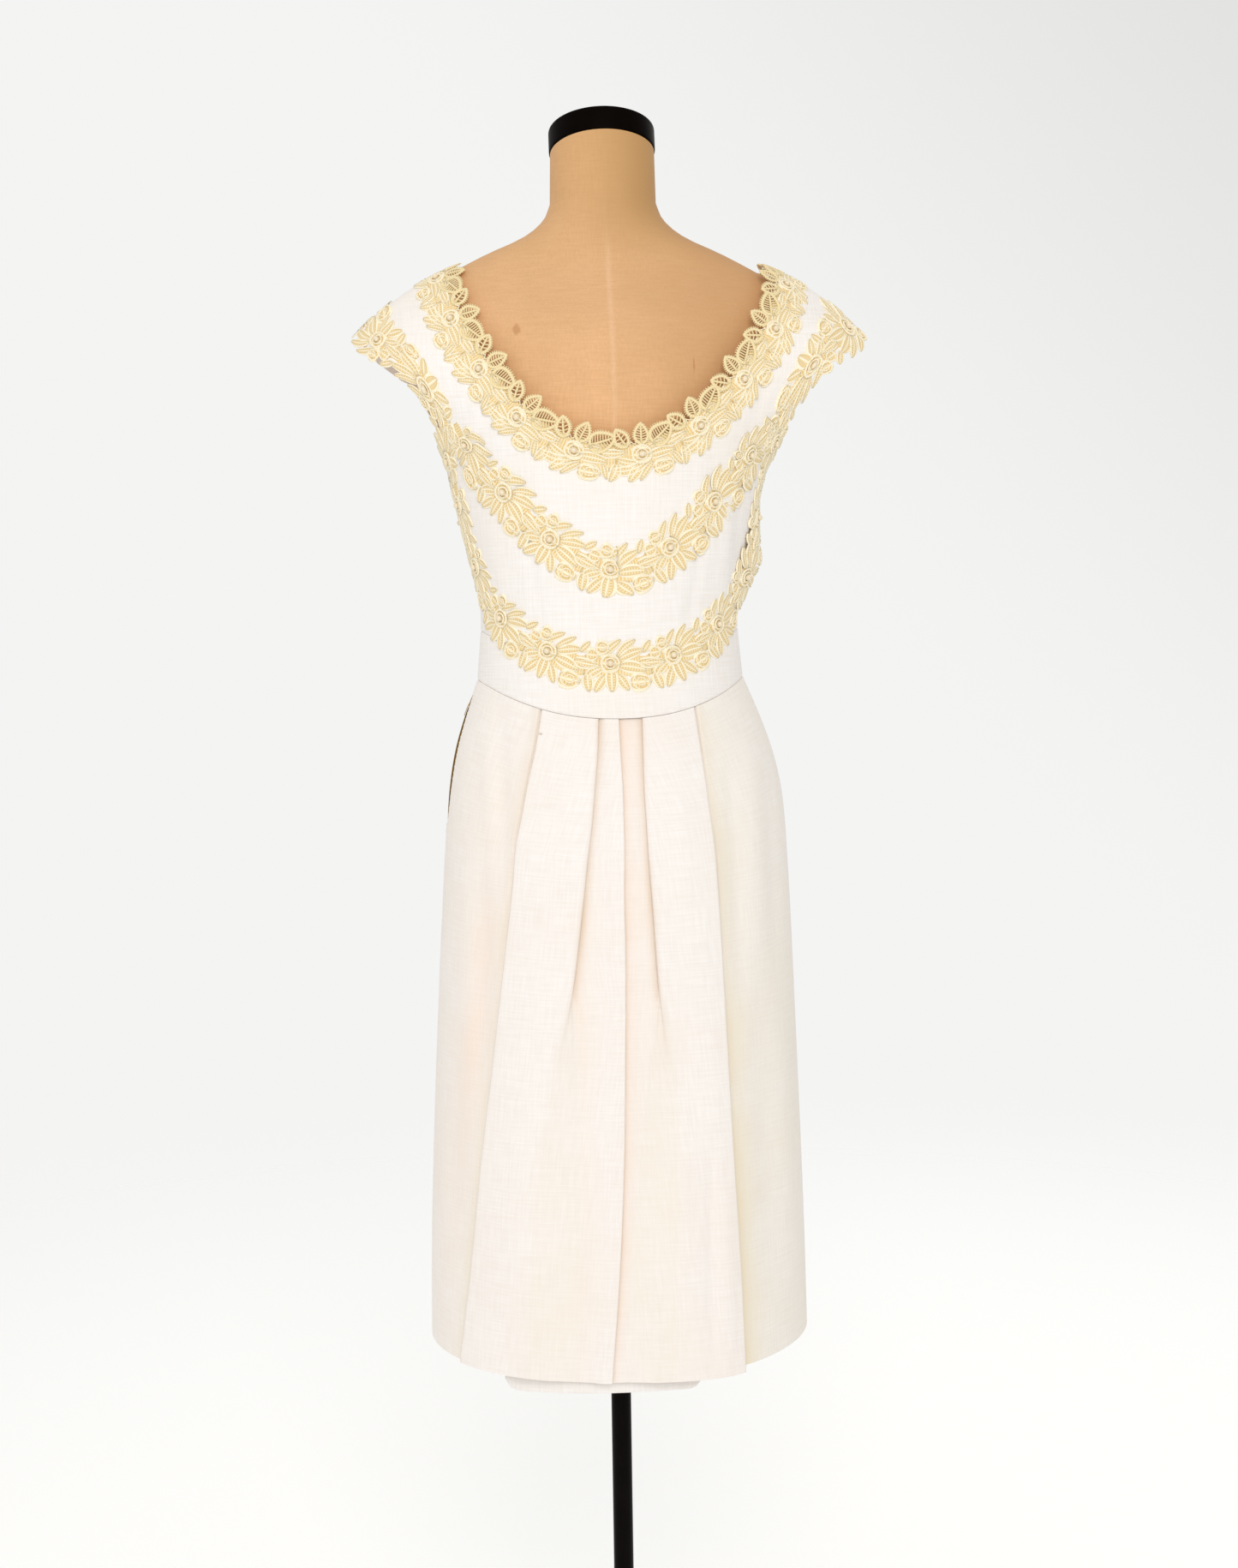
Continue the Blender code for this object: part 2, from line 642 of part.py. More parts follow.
def make_zip():
    """The zip's tape, behind the left side seam, seen through the placket."""
    tape_half = 0.008
    tape_thick = 0.001
    count = 6
    grids = [[], []]
    for z in np.linspace(PLACKET_BOTTOM - 0.010, PLACKET_TOP + 0.004, count):
        heights = [row[0] for row in SKIRT_LEVELS]
        level = np.interp(-z, [-height for height in heights], range(len(heights)))
        side_x = row_at(SKIRT_LEVELS, level)[2]
        outer, inner = [], []
        for y in (-tape_half, 0.0, tape_half):
            x = side_x - 0.0013 - y**2 / 0.14
            outer.append((x, y, z))
            inner.append((x - tape_thick, y, z))
        grids[0].append(outer)
        grids[1].append(inner)
    wall("side_zip", np.array(grids[0]), np.array(grids[1]), BRASS)


def walk(point_of, place, target):
    """The place on a surface that is nearest to a target near it."""
    first, second = place
    step = 1e-4
    for _ in range(4):
        here = point_of(first, second)
        along = (point_of(first + step, second) - here) / step
        up = (point_of(first, second + step) - here) / step
        moves = np.linalg.lstsq(np.stack([along, up], axis=1), target - here, rcond=None)[0]
        first += moves[0]
        second = min(max(second + moves[1], 0.02), SHOULDER_SECTION - 0.03)
    return first, second


def even_stations(point_of, path, spacing):
    """Places at an even spacing along a path of places on a surface."""
    fine = []
    for start, end in zip(path[:-1], path[1:]):
        fine += [start + (end - start) * t for t in np.linspace(0, 1, 4, endpoint=False)]
    fine.append(path[-1])
    points = np.array([point_of(*place) for place in fine])
    lengths = np.concatenate([[0], np.cumsum(np.linalg.norm(np.diff(points, axis=0), axis=1))])
    count = max(round(lengths[-1] / spacing), 4)
    wanted = np.linspace(0, lengths[-1], count + 1)
    fine = np.array(fine)
    return [(np.interp(s, lengths, fine[:, 0]), np.interp(s, lengths, fine[:, 1])) for s in wanted]


def lace_half(point_of, path, reaches, reliefs, starts_level):
    """Half a band of lace as an outer and an inner grid of points, with each row's motif."""
    spacing = LACE_REPEAT / len(LACE_MOTIF)
    stations = even_stations(point_of, np.array(path, dtype=float), spacing)
    points = np.array([point_of(*station) for station in stations])
    outer, inner, motifs = [], [], []
    for i, station in enumerate(stations):
        ahead = points[min(i + 1, len(points) - 1)] - points[max(i - 1, 0)]
        if i == 0 and starts_level:
            ahead = np.array((1.0, 0.0, 0.0))
        side = np.cross(outward(point_of, *station), ahead)
        side /= np.linalg.norm(side)
        motif = LACE_MOTIF[i % len(LACE_MOTIF)]
        outer_row, inner_row = [], []
        for reach, relief in zip(reaches(motif, station[1]), reliefs(motif)):
            place = walk(point_of, station, points[i] + side * reach)
            here = point_of(*place)
            out = outward(point_of, *place)
            bottom = CLOTH + LACE_LIFT
            inner_row.append(here + out * bottom)
            outer_row.append(here + out * (bottom + LACE_THICK + relief))
        outer.append(outer_row)
        inner.append(inner_row)
        motifs.append(motif)
    return np.array(outer), np.array(inner), motifs


def both_hands(half):
    """A half that starts on the centre line, joined to its mirror image."""
    return np.concatenate([(half * MIRROR)[:0:-1], half])


def band_relief(motif):
    return [0, motif[2], motif[3], motif[4], 0]


def make_neck_lace(side, facing, surface, route, start):
    """The neckline's lace: leaves stand free inside the cloth's edge, with gaps behind them."""

    def reaches(motif, section):
        places = (NECK_FREE * motif[0], -0.0085, -0.0015, 0.008, 0.018, NECK_ON * motif[1])
        return [facing * place for place in places]

    def reliefs(motif):
        return [0, motif[2], 0.0004, motif[3], motif[4], 0]

    path = [(0.0, s) for s in np.linspace(start, SHOULDER_SECTION - 0.03, 60)]
    outer, inner, motifs = lace_half(surface, route(path), reaches, reliefs, True)
    last = len(motifs) - 1
    open_rows = [i for i in range(1, last - 1) if motifs[i][5]]
    open_cells = [(last + i, 1) for i in open_rows] + [(last - 1 - i, 1) for i in open_rows]
    wall(f"lace_neck_{side}", both_hands(outer), both_hands(inner), LACE, open_cells)


def loosened(points):
    """The lower band's points, with its right end moved out from the side of the bodice."""
    x, z = points[..., 0], points[..., 2]
    share = np.clip((-x - LOOSE_FROM_X) / LOOSE_BLEND_X, 0, 1)
    share *= np.interp(z, (LOOSE_BOTTOM_Z, LOOSE_FULL_Z, LOOSE_TOP_Z), (0, 1, 0))
    moved = points.copy()
    moved[..., 0] -= LOOSE_LIFT * share
    return moved


def make_lace_bands(side, facing, surface, route):
    """The two bands that swing round the body below the neckline, sewn flat on the cloth."""

    def reaches(motif, section):
        narrow = np.interp(section, (BAND_TAPER_START, BAND_TAPER_END), (1.0, 0.6))
        places = (-BAND_REACH * motif[0], -0.009, 0.0, 0.009, BAND_REACH * motif[1])
        return [facing * place * narrow for place in places]

    for name, path in LACE_PATHS[side].items():
        outer, inner, _ = lace_half(surface, route(path), reaches, band_relief, True)
        outer, inner = both_hands(outer), both_hands(inner)
        if (side, name) == ("back", "lower"):
            outer, inner = loosened(outer), loosened(inner)
        wall(f"lace_{name}_{side}", outer, inner, LACE)


def make_sleeve_lace(side, facing, surface, route):
    """The sleeve hem's lace, broad at the sleeve's tip and narrow down to the underarm."""

    def reaches(motif, section):
        broad = np.interp(section, (SLEEVE_NARROW_SECTION, SHOULDER_SECTION), (0.0, 1.0))
        on = SLEEVE_ON_NARROW + (SLEEVE_ON_BROAD - SLEEVE_ON_NARROW) * broad
        free = SLEEVE_FREE * motif[0] * min((section - UNDERARM_SECTION) / 1.5, 1)
        places = (free, on * 0.15, on * 0.40, on * 0.68, on * (0.85 + 0.15 * motif[1]))
        return [-facing * place for place in places]

    path = [(1.0, s) for s in np.linspace(UNDERARM_SECTION + 0.35, SHOULDER_SECTION - 0.03, 60)]
    outer, inner, _ = lace_half(surface, route(path), reaches, band_relief, False)
    wall(f"lace_sleeve_left_{side}", outer, inner, LACE)
    wall(f"lace_sleeve_right_{side}", outer * MIRROR, inner * MIRROR, LACE)


def make_lace():
    for side, facing, cut in (("back", 1, BACK_CUT), ("front", -1, FRONT_CUT)):

        def surface(angle, section, cut=cut, facing=facing):
            return shell_point(cut[0], facing, angle, section)

        def route(places, cut=cut):
            return [(angle_at(cut, across, section), section) for across, section in places]

        make_neck_lace(side, facing, surface, route, cut[1][0][0])
        make_lace_bands(side, facing, surface, route)
        make_sleeve_lace(side, facing, surface, route)


def make_form():
    """The tan form: a smooth loft of flattened rings, closed below and cut on a slope at the neck."""
    bm = bmesh.new()
    rings = []
    angles = np.linspace(0, 2 * math.pi, FORM_SIDES, endpoint=False)
    for z, half_width, back, front in FORM_RINGS:
        ring = []
        for angle in angles:
            depth = back if math.cos(angle) > 0 else front
            place = (half_width * math.sin(angle), depth * math.cos(angle), z)
            ring.append(bm.verts.new(place))
        rings.append(ring)
    top = []
    for angle in angles:
        y = NECK_RADIUS * math.cos(angle)
        top.append(bm.verts.new((NECK_RADIUS * math.sin(angle), y, NECK_TOP + y * math.tan(NECK_LEAN))))
    rings.append(top)
    for low, high in zip(rings[:-1], rings[1:]):
        for i in range(FORM_SIDES):
            j = (i + 1) % FORM_SIDES
            bm.faces.new((low[i], low[j], high[j], high[i]))
    bm.faces.new(reversed(rings[0]))
    bm.faces.new(rings[-1])
    mesh_object("form_torso", bm, FORM_CLOTH)


def turned(name, profile, material, centre=(0.0, 0.0, 0.0), lean=0.0, sides=32):
    """A turned piece from a profile of (radius, height) that runs from the axis at the top."""
    bm = bmesh.new()
    verts = [bm.verts.new((radius, 0.0, height)) for radius, height in profile]
    for start, end in zip(verts[:-1], verts[1:]):
        bm.edges.new((start, end))
    mesh = bpy.data.meshes.new(name)
    bm.to_mesh(mesh)
    bm.free()
    obj = bpy.data.objects.new(name, mesh)
    PART.objects.link(obj)
    obj.location = centre
    obj.rotation_euler = (lean, 0.0, 0.0)
    screw = obj.modifiers.new("turn", "SCREW")
    screw.steps = sides
    screw.render_steps = sides
    screw.use_merge_vertices = True
    screw.merge_threshold = 0.0001
    screw.use_smooth_shade = True
    mesh.materials.append(material)
    return obj


def make_stand():
    cap_bevel = 0.003
    turned(
        "neck_cap",
        [
            (0.0, CAP_HEIGHT),
            (CAP_RADIUS - cap_bevel, CAP_HEIGHT),
            (CAP_RADIUS - 0.0008, CAP_HEIGHT - 0.0008),
            (CAP_RADIUS, CAP_HEIGHT - cap_bevel),
            (CAP_RADIUS, 0.0),
            (0.0, 0.0),
        ],
        BLACK_PLASTIC,
        centre=(0.0, 0.0, NECK_TOP + SEAM_GAP),
        lean=NECK_LEAN,
    )
    hub_top = BASE_THICK + HUB_HEIGHT
    socket_floor = BASE_THICK
    fit = POLE_RADIUS + SEAM_GAP
    edge = 0.004
    turned(
        "stand_base",
        [
            (0.0, socket_floor),
            (fit, socket_floor),
            (fit, hub_top),
            (HUB_RADIUS - 0.005, hub_top),
            (HUB_RADIUS - 0.002, hub_top - 0.004),
            (HUB_RADIUS, BASE_THICK + 0.004),
            (HUB_RADIUS + 0.006, BASE_THICK),
            (BASE_RADIUS - edge, BASE_THICK),
            (BASE_RADIUS, BASE_THICK - edge),
            (BASE_RADIUS, 0.001),
            (BASE_RADIUS - 0.001, 0.0),
            (0.0, 0.0),
        ],
        BLACK_METAL,
        sides=40,
    )
    collar_bottom = FORM_BOTTOM - SEAM_GAP - COLLAR_HEIGHT
    collar_radius = 0.022
    turned(
        "pole_collar",
        [
            (fit, FORM_BOTTOM - SEAM_GAP),
            (collar_radius + 0.006, FORM_BOTTOM - SEAM_GAP),
            (collar_radius + 0.006, FORM_BOTTOM - 0.005),
            (collar_radius, FORM_BOTTOM - 0.005),
            (collar_radius, collar_bottom),
            (fit, collar_bottom),
            (fit, FORM_BOTTOM - SEAM_GAP),
        ],
        BLACK_METAL,
        sides=20,
    )
    turned(
        "stand_pole",
        [
            (0.0, FORM_BOTTOM - SEAM_GAP),
            (POLE_RADIUS, FORM_BOTTOM - SEAM_GAP),
            (POLE_RADIUS, socket_floor + SEAM_GAP),
            (0.0, socket_floor + SEAM_GAP),
        ],
        BLACK_METAL,
        sides=20,
    )


clear_scene()
PART = new_collection("cocktail_dress_on_form")
LINEN = new_material("ivory linen", (0.86, 0.80, 0.72), 0.85, 0.2)
LACE = new_material("butter guipure lace", (0.84, 0.68, 0.36), 0.75, 0.2)
FORM_CLOTH = new_material("tan form cover", (0.58, 0.36, 0.17), 0.9, 0.2)
BLACK_PLASTIC = new_material("black gloss plastic", (0.012, 0.010, 0.010), 0.25)
BLACK_METAL = new_material("black enamelled steel", (0.012, 0.012, 0.012), 0.3)
BRASS = new_material("brass zip", (0.42, 0.28, 0.10), 0.4)

make_stand()
make_form()
make_bodice_and_yoke()
make_skirt_front()
make_pleated_half("skirt_back_left", LEFT_PLEAT, 1)
make_pleated_half("skirt_back_right", RIGHT_PLEAT, -1)
make_underlay()
make_zip()
make_lace()
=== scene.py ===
from math import atan, cos, pi, radians, sin, tan

import bmesh
import bpy
import numpy as np
from mathutils import Matrix, Vector


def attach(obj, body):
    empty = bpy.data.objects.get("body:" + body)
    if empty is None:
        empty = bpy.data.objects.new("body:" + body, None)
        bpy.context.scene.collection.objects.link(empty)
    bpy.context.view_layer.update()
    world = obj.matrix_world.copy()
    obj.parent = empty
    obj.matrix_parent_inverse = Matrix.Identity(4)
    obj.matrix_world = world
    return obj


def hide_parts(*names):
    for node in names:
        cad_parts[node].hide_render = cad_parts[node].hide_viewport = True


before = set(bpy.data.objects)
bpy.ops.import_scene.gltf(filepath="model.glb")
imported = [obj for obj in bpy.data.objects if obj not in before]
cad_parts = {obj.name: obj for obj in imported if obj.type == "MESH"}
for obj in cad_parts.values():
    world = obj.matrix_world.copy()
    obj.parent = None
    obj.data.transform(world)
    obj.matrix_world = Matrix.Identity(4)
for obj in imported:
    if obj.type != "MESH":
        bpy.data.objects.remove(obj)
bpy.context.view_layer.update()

# Camera
# It stands behind the form, a little to the form's left and above its waist, and looks slightly down.
# Its place and turns were fitted to the curves of the neck, the pole and the hem.
PHOTO_HEIGHT = 1830
SENSOR = 36.0
CAMERA_FOCUS = 2400.0
CAMERA_DISTANCE = 1.920
CAMERA_HEIGHT = 1.142
CAMERA_YAW = radians(4.5)
CAMERA_PITCH = radians(5.12)
CAMERA_ROLL = radians(0.87)
# The form's axis stands this many of the photograph's pixels beside its middle.
AXIS_OFFSET = 8.5
CAMERA_AIM = atan(AXIS_OFFSET / CAMERA_FOCUS)


def placed(name, data):
    """A new object in the scene."""
    made = bpy.data.objects.new(name, data)
    bpy.context.scene.collection.objects.link(made)
    return made


heading = CAMERA_YAW + CAMERA_AIM
forward = Vector((-sin(heading) * cos(CAMERA_PITCH), -cos(heading) * cos(CAMERA_PITCH), -sin(CAMERA_PITCH)))
level_right = forward.cross(Vector((0, 0, 1))).normalized()
level_up = level_right.cross(forward)
camera_right = level_right * cos(CAMERA_ROLL) - level_up * sin(CAMERA_ROLL)
camera_up = level_right * sin(CAMERA_ROLL) + level_up * cos(CAMERA_ROLL)
camera_data = bpy.data.cameras.new("Camera")
camera_data.sensor_width = SENSOR
camera_data.lens = CAMERA_FOCUS / PHOTO_HEIGHT * SENSOR
camera = placed("Camera", camera_data)
camera.matrix_world = Matrix.Translation(
    (CAMERA_DISTANCE * sin(CAMERA_YAW), CAMERA_DISTANCE * cos(CAMERA_YAW), CAMERA_HEIGHT)
) @ Matrix((camera_right, camera_up, -forward)).transposed().to_4x4()
bpy.context.scene.camera = camera
bpy.context.scene.view_settings.view_transform = "Standard"


# Floor and light
# A pale studio sweep under even white light, with one large soft lamp high on the form's left.
# The floor fades out far from the stand, so that no edge of it shows.
def linear(code):
    """An sRGB hex colour as the linear colour that a shader takes."""
    parts = [int(code[i : i + 2], 16) / 255 for i in (1, 3, 5)]
    return (*[p / 12.92 if p <= 0.04045 else ((p + 0.055) / 1.055) ** 2.4 for p in parts], 1.0)


def fill(node, values):
    """Sets a node's properties and sockets. A value that is a node or an output is linked to its socket."""
    for key, value in values.items():
        if isinstance(value, bpy.types.Node):
            value = next(output for output in value.outputs if output.enabled)
        if isinstance(value, bpy.types.NodeSocket):
            node.id_data.links.new(value, node.inputs[key])
        elif isinstance(key, int) or key in node.inputs:
            node.inputs[key].default_value = value
        else:
            setattr(node, key, value)
    return node


def add(tree, kind, values):
    """Adds a node to a tree and fills it in."""
    return fill(tree.nodes.new(kind), values)


def material(name, values):
    """A new material, its node tree and its shader, with fixed values on the shader's sockets."""
    made = bpy.data.materials.new(name)
    made.use_nodes = True
    return made, made.node_tree, fill(made.node_tree.nodes["Principled BSDF"], values)


def meshed(name, points, faces, uv_map=None, uvs=(), **vectors):
    """A new mesh, with a flat map and named vectors that are given for its points."""
    mesh = bpy.data.meshes.new(name)
    mesh.from_pydata(np.asarray(points).tolist(), [], [list(face) for face in faces])
    if uv_map:
        corner_points = np.zeros(len(mesh.loops), dtype=int)
        mesh.loops.foreach_get("vertex_index", corner_points)
        mesh.uv_layers.new(name=uv_map).data.foreach_set("uv", np.asarray(uvs)[corner_points].ravel())
    for key, values in vectors.items():
        layer = mesh.attributes.new(key, "FLOAT_VECTOR", "POINT")
        layer.data.foreach_set("vector", np.asarray(values, dtype=float).ravel())
    return mesh


# The room is white paper all round: duller high on the right, and at both sides of the form.
world = bpy.data.worlds.new("Studio")
world.use_nodes = True
room = world.node_tree
way = add(room, "ShaderNodeTexCoord", {})
to_corner = add(room, "ShaderNodeVectorMath", {
    "operation": "DOT_PRODUCT", 0: way.outputs["Generated"], 1: (-0.75, 0.0, 0.65),
})
dull = add(room, "ShaderNodeMapRange", {
    "interpolation_type": "SMOOTHSTEP", "Value": to_corner, "From Min": 0.12, "From Max": 0.62,
})
paper_tone = add(room, "ShaderNodeMix", {
    "data_type": "RGBA", 0: dull, 6: linear("#F4F4F3"), 7: linear("#DADAD8"),
})
ways = add(room, "ShaderNodeSeparateXYZ", {"Vector": way.outputs["Generated"]})
sideways = add(room, "ShaderNodeMath", {"operation": "ABSOLUTE", 0: ways.outputs["X"]})
dim = add(room, "ShaderNodeMapRange", {"Value": sideways, "From Min": 0.42, "To Min": 1.0, "To Max": 0.8})
fill(room.nodes["Background"], {"Color": paper_tone, "Strength": dim})
bpy.context.scene.world = world

# Matt white paper. It gives a soft, even light back from below, and glows a little, as if lit on its own.
paper, tree, shader = material("White paper", {
    "Base Color": linear("#F7F7F6"), "Emission Color": linear("#FFFFFF"), "Emission Strength": 0.16,
    "Roughness": 0.9, "Specular IOR Level": 0.2,
})
place = add(tree, "ShaderNodeTexCoord", {})
away = add(tree, "ShaderNodeVectorMath", {"operation": "LENGTH", 0: place.outputs["Object"]})
fade = add(tree, "ShaderNodeMapRange", {
    "interpolation_type": "SMOOTHSTEP", "Value": away, "From Min": 0.9, "From Max": 3.0, "To Min": 1.0,
    "To Max": 0.0,
})
fill(shader, {"Alpha": fade})

FLOOR_RADIUS = 3.2
turn = np.linspace(0, 2 * pi, 96, endpoint=False)
floor_points = [(FLOOR_RADIUS * cos(a), FLOOR_RADIUS * sin(a), 0.0) for a in turn]
floor = placed("Floor", meshed("Floor", floor_points, [range(len(turn))]))
floor.data.materials.append(paper)

for name, spot, power, size in (("Key", (0.05, 2.9, 2.6), 30.5, 1.4), ("Fill", (-1.5, -2.4, 2.2), 12.0, 2.2)):
    lamp_data = bpy.data.lights.new(name, "AREA")
    lamp_data.energy = power
    lamp_data.size = size
    lamp_data.color = linear("#FFFDFA")[:3]
    lamp = placed(name, lamp_data)
    lamp.location = spot
    lamp.rotation_euler = (Vector((0, 0, 1.15)) - Vector(spot)).to_track_quat("-Z", "Y").to_euler()


# Stand base, pole and collar
# A turned steel plate with a socket carries a drawn steel tube, and a flanged collar under the form.
# All are black enamel over steel. The pole sits in the socket and the collar on the pole.
BASE_RADIUS = 0.170
BASE_THICK = 0.012
HUB_RADIUS = 0.024
HUB_TOP = 0.047
POLE_RADIUS = 0.0095
POLE_FIT = 0.0098
FLANGE_RADIUS = 0.028
FLANGE_BOTTOM = 0.795
COLLAR_RADIUS = 0.022
COLLAR_BOTTOM = 0.7697
FORM_BOTTOM = 0.800
SEAM_GAP = 0.0003


def softened(places, radius, steps=4):
    """A line of flat places, and any values carried with them, with each corner rounded off."""
    places = [np.array(place, dtype=float) for place in places]
    line = [places[0]]
    for before, corner, after in zip(places, places[1:], places[2:]):
        reach_in, reach_out = before - corner, after - corner
        long_in, long_out = (max(np.linalg.norm(reach[:2]), 1e-7) for reach in (reach_in, reach_out))
        start = corner + reach_in * min(radius / long_in, 0.45)
        end = corner + reach_out * min(radius / long_out, 0.45)
        for t in np.linspace(0, 1, steps + 1):
            line.append((1 - t) ** 2 * start + 2 * t * (1 - t) * corner + t**2 * end)
    return line + [places[-1]]


def turned(profile, sides):
    """Points and faces of a shape turned on the upright axis from (radius, height) places."""
    points, faces, rings = [], [], []
    closed = np.allclose(profile[0], profile[-1])
    for radius, height in profile[:-1] if closed else profile:
        count = 1 if radius < 1e-6 else sides
        rings.append([len(points) + i % count for i in range(sides)])
        angles = [2 * pi * i / sides for i in range(count)]
        points += [(radius * cos(a), radius * sin(a), height) for a in angles]
    if closed:
        rings.append(rings[0])
    for low, high in zip(rings, rings[1:]):
        for i in range(sides):
            j = (i + 1) % sides
            faces.append(list(dict.fromkeys((low[i], low[j], high[j], high[i]))))
    return np.array(points), faces


def on_body(name, mesh):
    """A new piece on the dress's one body."""
    made = placed(name, mesh)
    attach(made, "root")
    return made


def finished(name, points, faces, surface, slot, nodes, uvs=None, sharp=40, **vectors):
    """One closed piece, faces outwards, that takes the place of its CAD nodes."""
    mesh = meshed(name, points, faces, None if uvs is None else "cut", uvs, **vectors)
    bm = bmesh.new()
    bm.from_mesh(mesh)
    bmesh.ops.remove_doubles(bm, verts=bm.verts, dist=1e-6)
    if bm.calc_volume(signed=True) < 0:
        bmesh.ops.reverse_faces(bm, faces=bm.faces)
    bm.to_mesh(mesh)
    bm.free()
    mesh.shade_smooth()
    mesh.set_sharp_from_angle(angle=radians(sharp))
    mesh.materials.append(surface)
    made = on_body(name, mesh)
    if nodes:
        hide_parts(*nodes)
    return made


def mottled(tree, shader, scale, detail, dark, light):
    """Gives a shader a colour that a noise mixes from two tones, and returns the noise."""
    place = add(tree, "ShaderNodeTexCoord", {})
    noise = add(tree, "ShaderNodeTexNoise", {
        "Scale": scale, "Detail": detail, "Vector": place.outputs["Object"],
    })
    tone = add(tree, "ShaderNodeMix", {"data_type": "RGBA", 0: noise, 6: linear(dark), 7: linear(light)})
    fill(shader, {"Base Color": tone})
    return noise


# Stoved black enamel over steel: nearly black, a soft gloss, and a faint orange-peel ripple.
enamel, tree, shader = material("Black stoved enamel", {
    "Roughness": 0.32, "Specular IOR Level": 0.03, "Coat Weight": 0.01, "Coat Roughness": 0.12,
})
mottled(tree, shader, 30.0, 4.0, "#060404", "#100C0A")
place = add(tree, "ShaderNodeTexCoord", {})
# The real ripple is about 0.5 mm across. It is drawn at 2 mm so that it shows.
ripple = add(tree, "ShaderNodeTexNoise", {"Vector": place.outputs["Object"], "Scale": 500.0, "Detail": 2.0})
bump = add(tree, "ShaderNodeBump", {"Height": ripple, "Strength": 0.08, "Distance": 0.0004})
fill(shader, {"Normal": bump})

base_profile = [
    (0, BASE_THICK), (POLE_FIT, BASE_THICK), (POLE_FIT, HUB_TOP), (HUB_RADIUS - 0.003, HUB_TOP),
    (HUB_RADIUS, BASE_THICK + 0.003), (HUB_RADIUS + 0.007, BASE_THICK), (BASE_RADIUS, BASE_THICK),
    (BASE_RADIUS, 0.0), (0, 0.0),
]
pole_profile = [
    (0, FORM_BOTTOM - SEAM_GAP), (POLE_RADIUS, FORM_BOTTOM - SEAM_GAP), (POLE_RADIUS, BASE_THICK + SEAM_GAP),
    (0, BASE_THICK + SEAM_GAP),
]
collar_profile = [
    (POLE_FIT, 0.785), (POLE_FIT, FORM_BOTTOM - SEAM_GAP), (FLANGE_RADIUS, FORM_BOTTOM - SEAM_GAP),
    (FLANGE_RADIUS, FLANGE_BOTTOM), (COLLAR_RADIUS, FLANGE_BOTTOM), (COLLAR_RADIUS, COLLAR_BOTTOM),
    (POLE_FIT, COLLAR_BOTTOM), (POLE_FIT, 0.785),
]
for name, profile, edge_radius, sides in (
    ("Stand_base", base_profile, 0.0025, 128), ("Stand_pole", pole_profile, 0.0006, 64),
    ("Pole_collar", collar_profile, 0.0008, 96),
):
    points, faces = turned(softened(profile, edge_radius), sides)
    finished(name, points, faces, enamel, "stand", [name.lower()], sharp=50)

# Form
# A limbless torso of moulded board with a stretched cotton cover, sewn up the centre back and front.
# Its neck is cut on a slope. It stands on the pole's collar and carries the dress.
NECK_RADIUS = 0.0475
NECK_TOP = 1.5465
NECK_LEAN = radians(15)
FORM_RINGS = [
    # height, half width, depth to the back, depth to the front
    (0.8, 0.14, 0.096, 0.098),
    (0.806, 0.1475, 0.103, 0.105),
    (0.835, 0.152, 0.1065, 0.1085),
    (0.88, 0.1535, 0.106, 0.1095),
    (0.925, 0.151, 0.1035, 0.1075),
    (0.968, 0.146, 0.1, 0.104),
    (1.005, 0.137, 0.095, 0.1),
    (1.04, 0.123, 0.088, 0.0945),
    (1.07, 0.114, 0.084, 0.0905),
    (1.1, 0.1115, 0.0825, 0.0885),
    (1.13, 0.1125, 0.0835, 0.091),
    (1.16, 0.117, 0.087, 0.1005),
    (1.19, 0.1235, 0.0915, 0.1095),
    (1.22, 0.13, 0.095, 0.1155),
    (1.25, 0.1365, 0.097, 0.1165),
    (1.28, 0.143, 0.098, 0.1105),
    (1.31, 0.151, 0.097, 0.1005),
    (1.34, 0.161, 0.093, 0.089),
    (1.37, 0.1705, 0.085, 0.077),
    (1.395, 0.175, 0.0745, 0.066),
    (1.415, 0.171, 0.062, 0.057),
    (1.432, 0.154, 0.053, 0.0505),
    (1.445, 0.131, 0.0495, 0.0485),
    (1.457, 0.107, 0.048, 0.048),
    (1.47, 0.077, 0.0478, 0.0478),
    (1.486, 0.056, 0.0476, 0.0476),
    (1.502, 0.0485, 0.0475, 0.0475),
]


def between(keys, rows, key):
    """A table's values at a key, on a smooth curve through its rows. The keys rise."""
    keys, rows, key = (np.asarray(a, dtype=float) for a in (keys, rows, key))
    index = np.clip(np.searchsorted(keys, key, side="right") - 1, 0, len(keys) - 2)
    width = keys[index + 1] - keys[index]
    t = np.clip((key - keys[index]) / width, 0, 1)[..., None]
    slopes = np.gradient(rows, keys, axis=0)
    return (
        (2 * t**3 - 3 * t**2 + 1) * rows[index] + (t**3 - 2 * t**2 + t) * slopes[index] * width[..., None]
        + (3 * t**2 - 2 * t**3) * rows[index + 1] + (t**3 - t**2) * slopes[index + 1] * width[..., None]
    )


# A lighter ridge runs down the seams from the neck, and the cover has been scuffed in two places.
RIDGE_TOP = 1.475
RIDGE_HALF = 0.0042
SCUFFS = [
    # place, half sizes
    ((0.0836, 0.071, 1.3808), (0.0042, 0.030, 0.0068)),
    ((-0.0722, 0.082, 1.3483), (0.0014, 0.030, 0.0085)),
]


def woven(tree, vector, scales, detail):
    """The height of a plain weave: the sum of two noises that are drawn out along the two threads."""
    threads = []
    for scale in scales:
        drawn = add(tree, "ShaderNodeMapping", {"Vector": vector, "Scale": scale})
        threads.append(add(tree, "ShaderNodeTexNoise", {"Vector": drawn, "Scale": 1.0, "Detail": detail}))
    return add(tree, "ShaderNodeMath", {"operation": "ADD", 0: threads[0], 1: threads[1]})


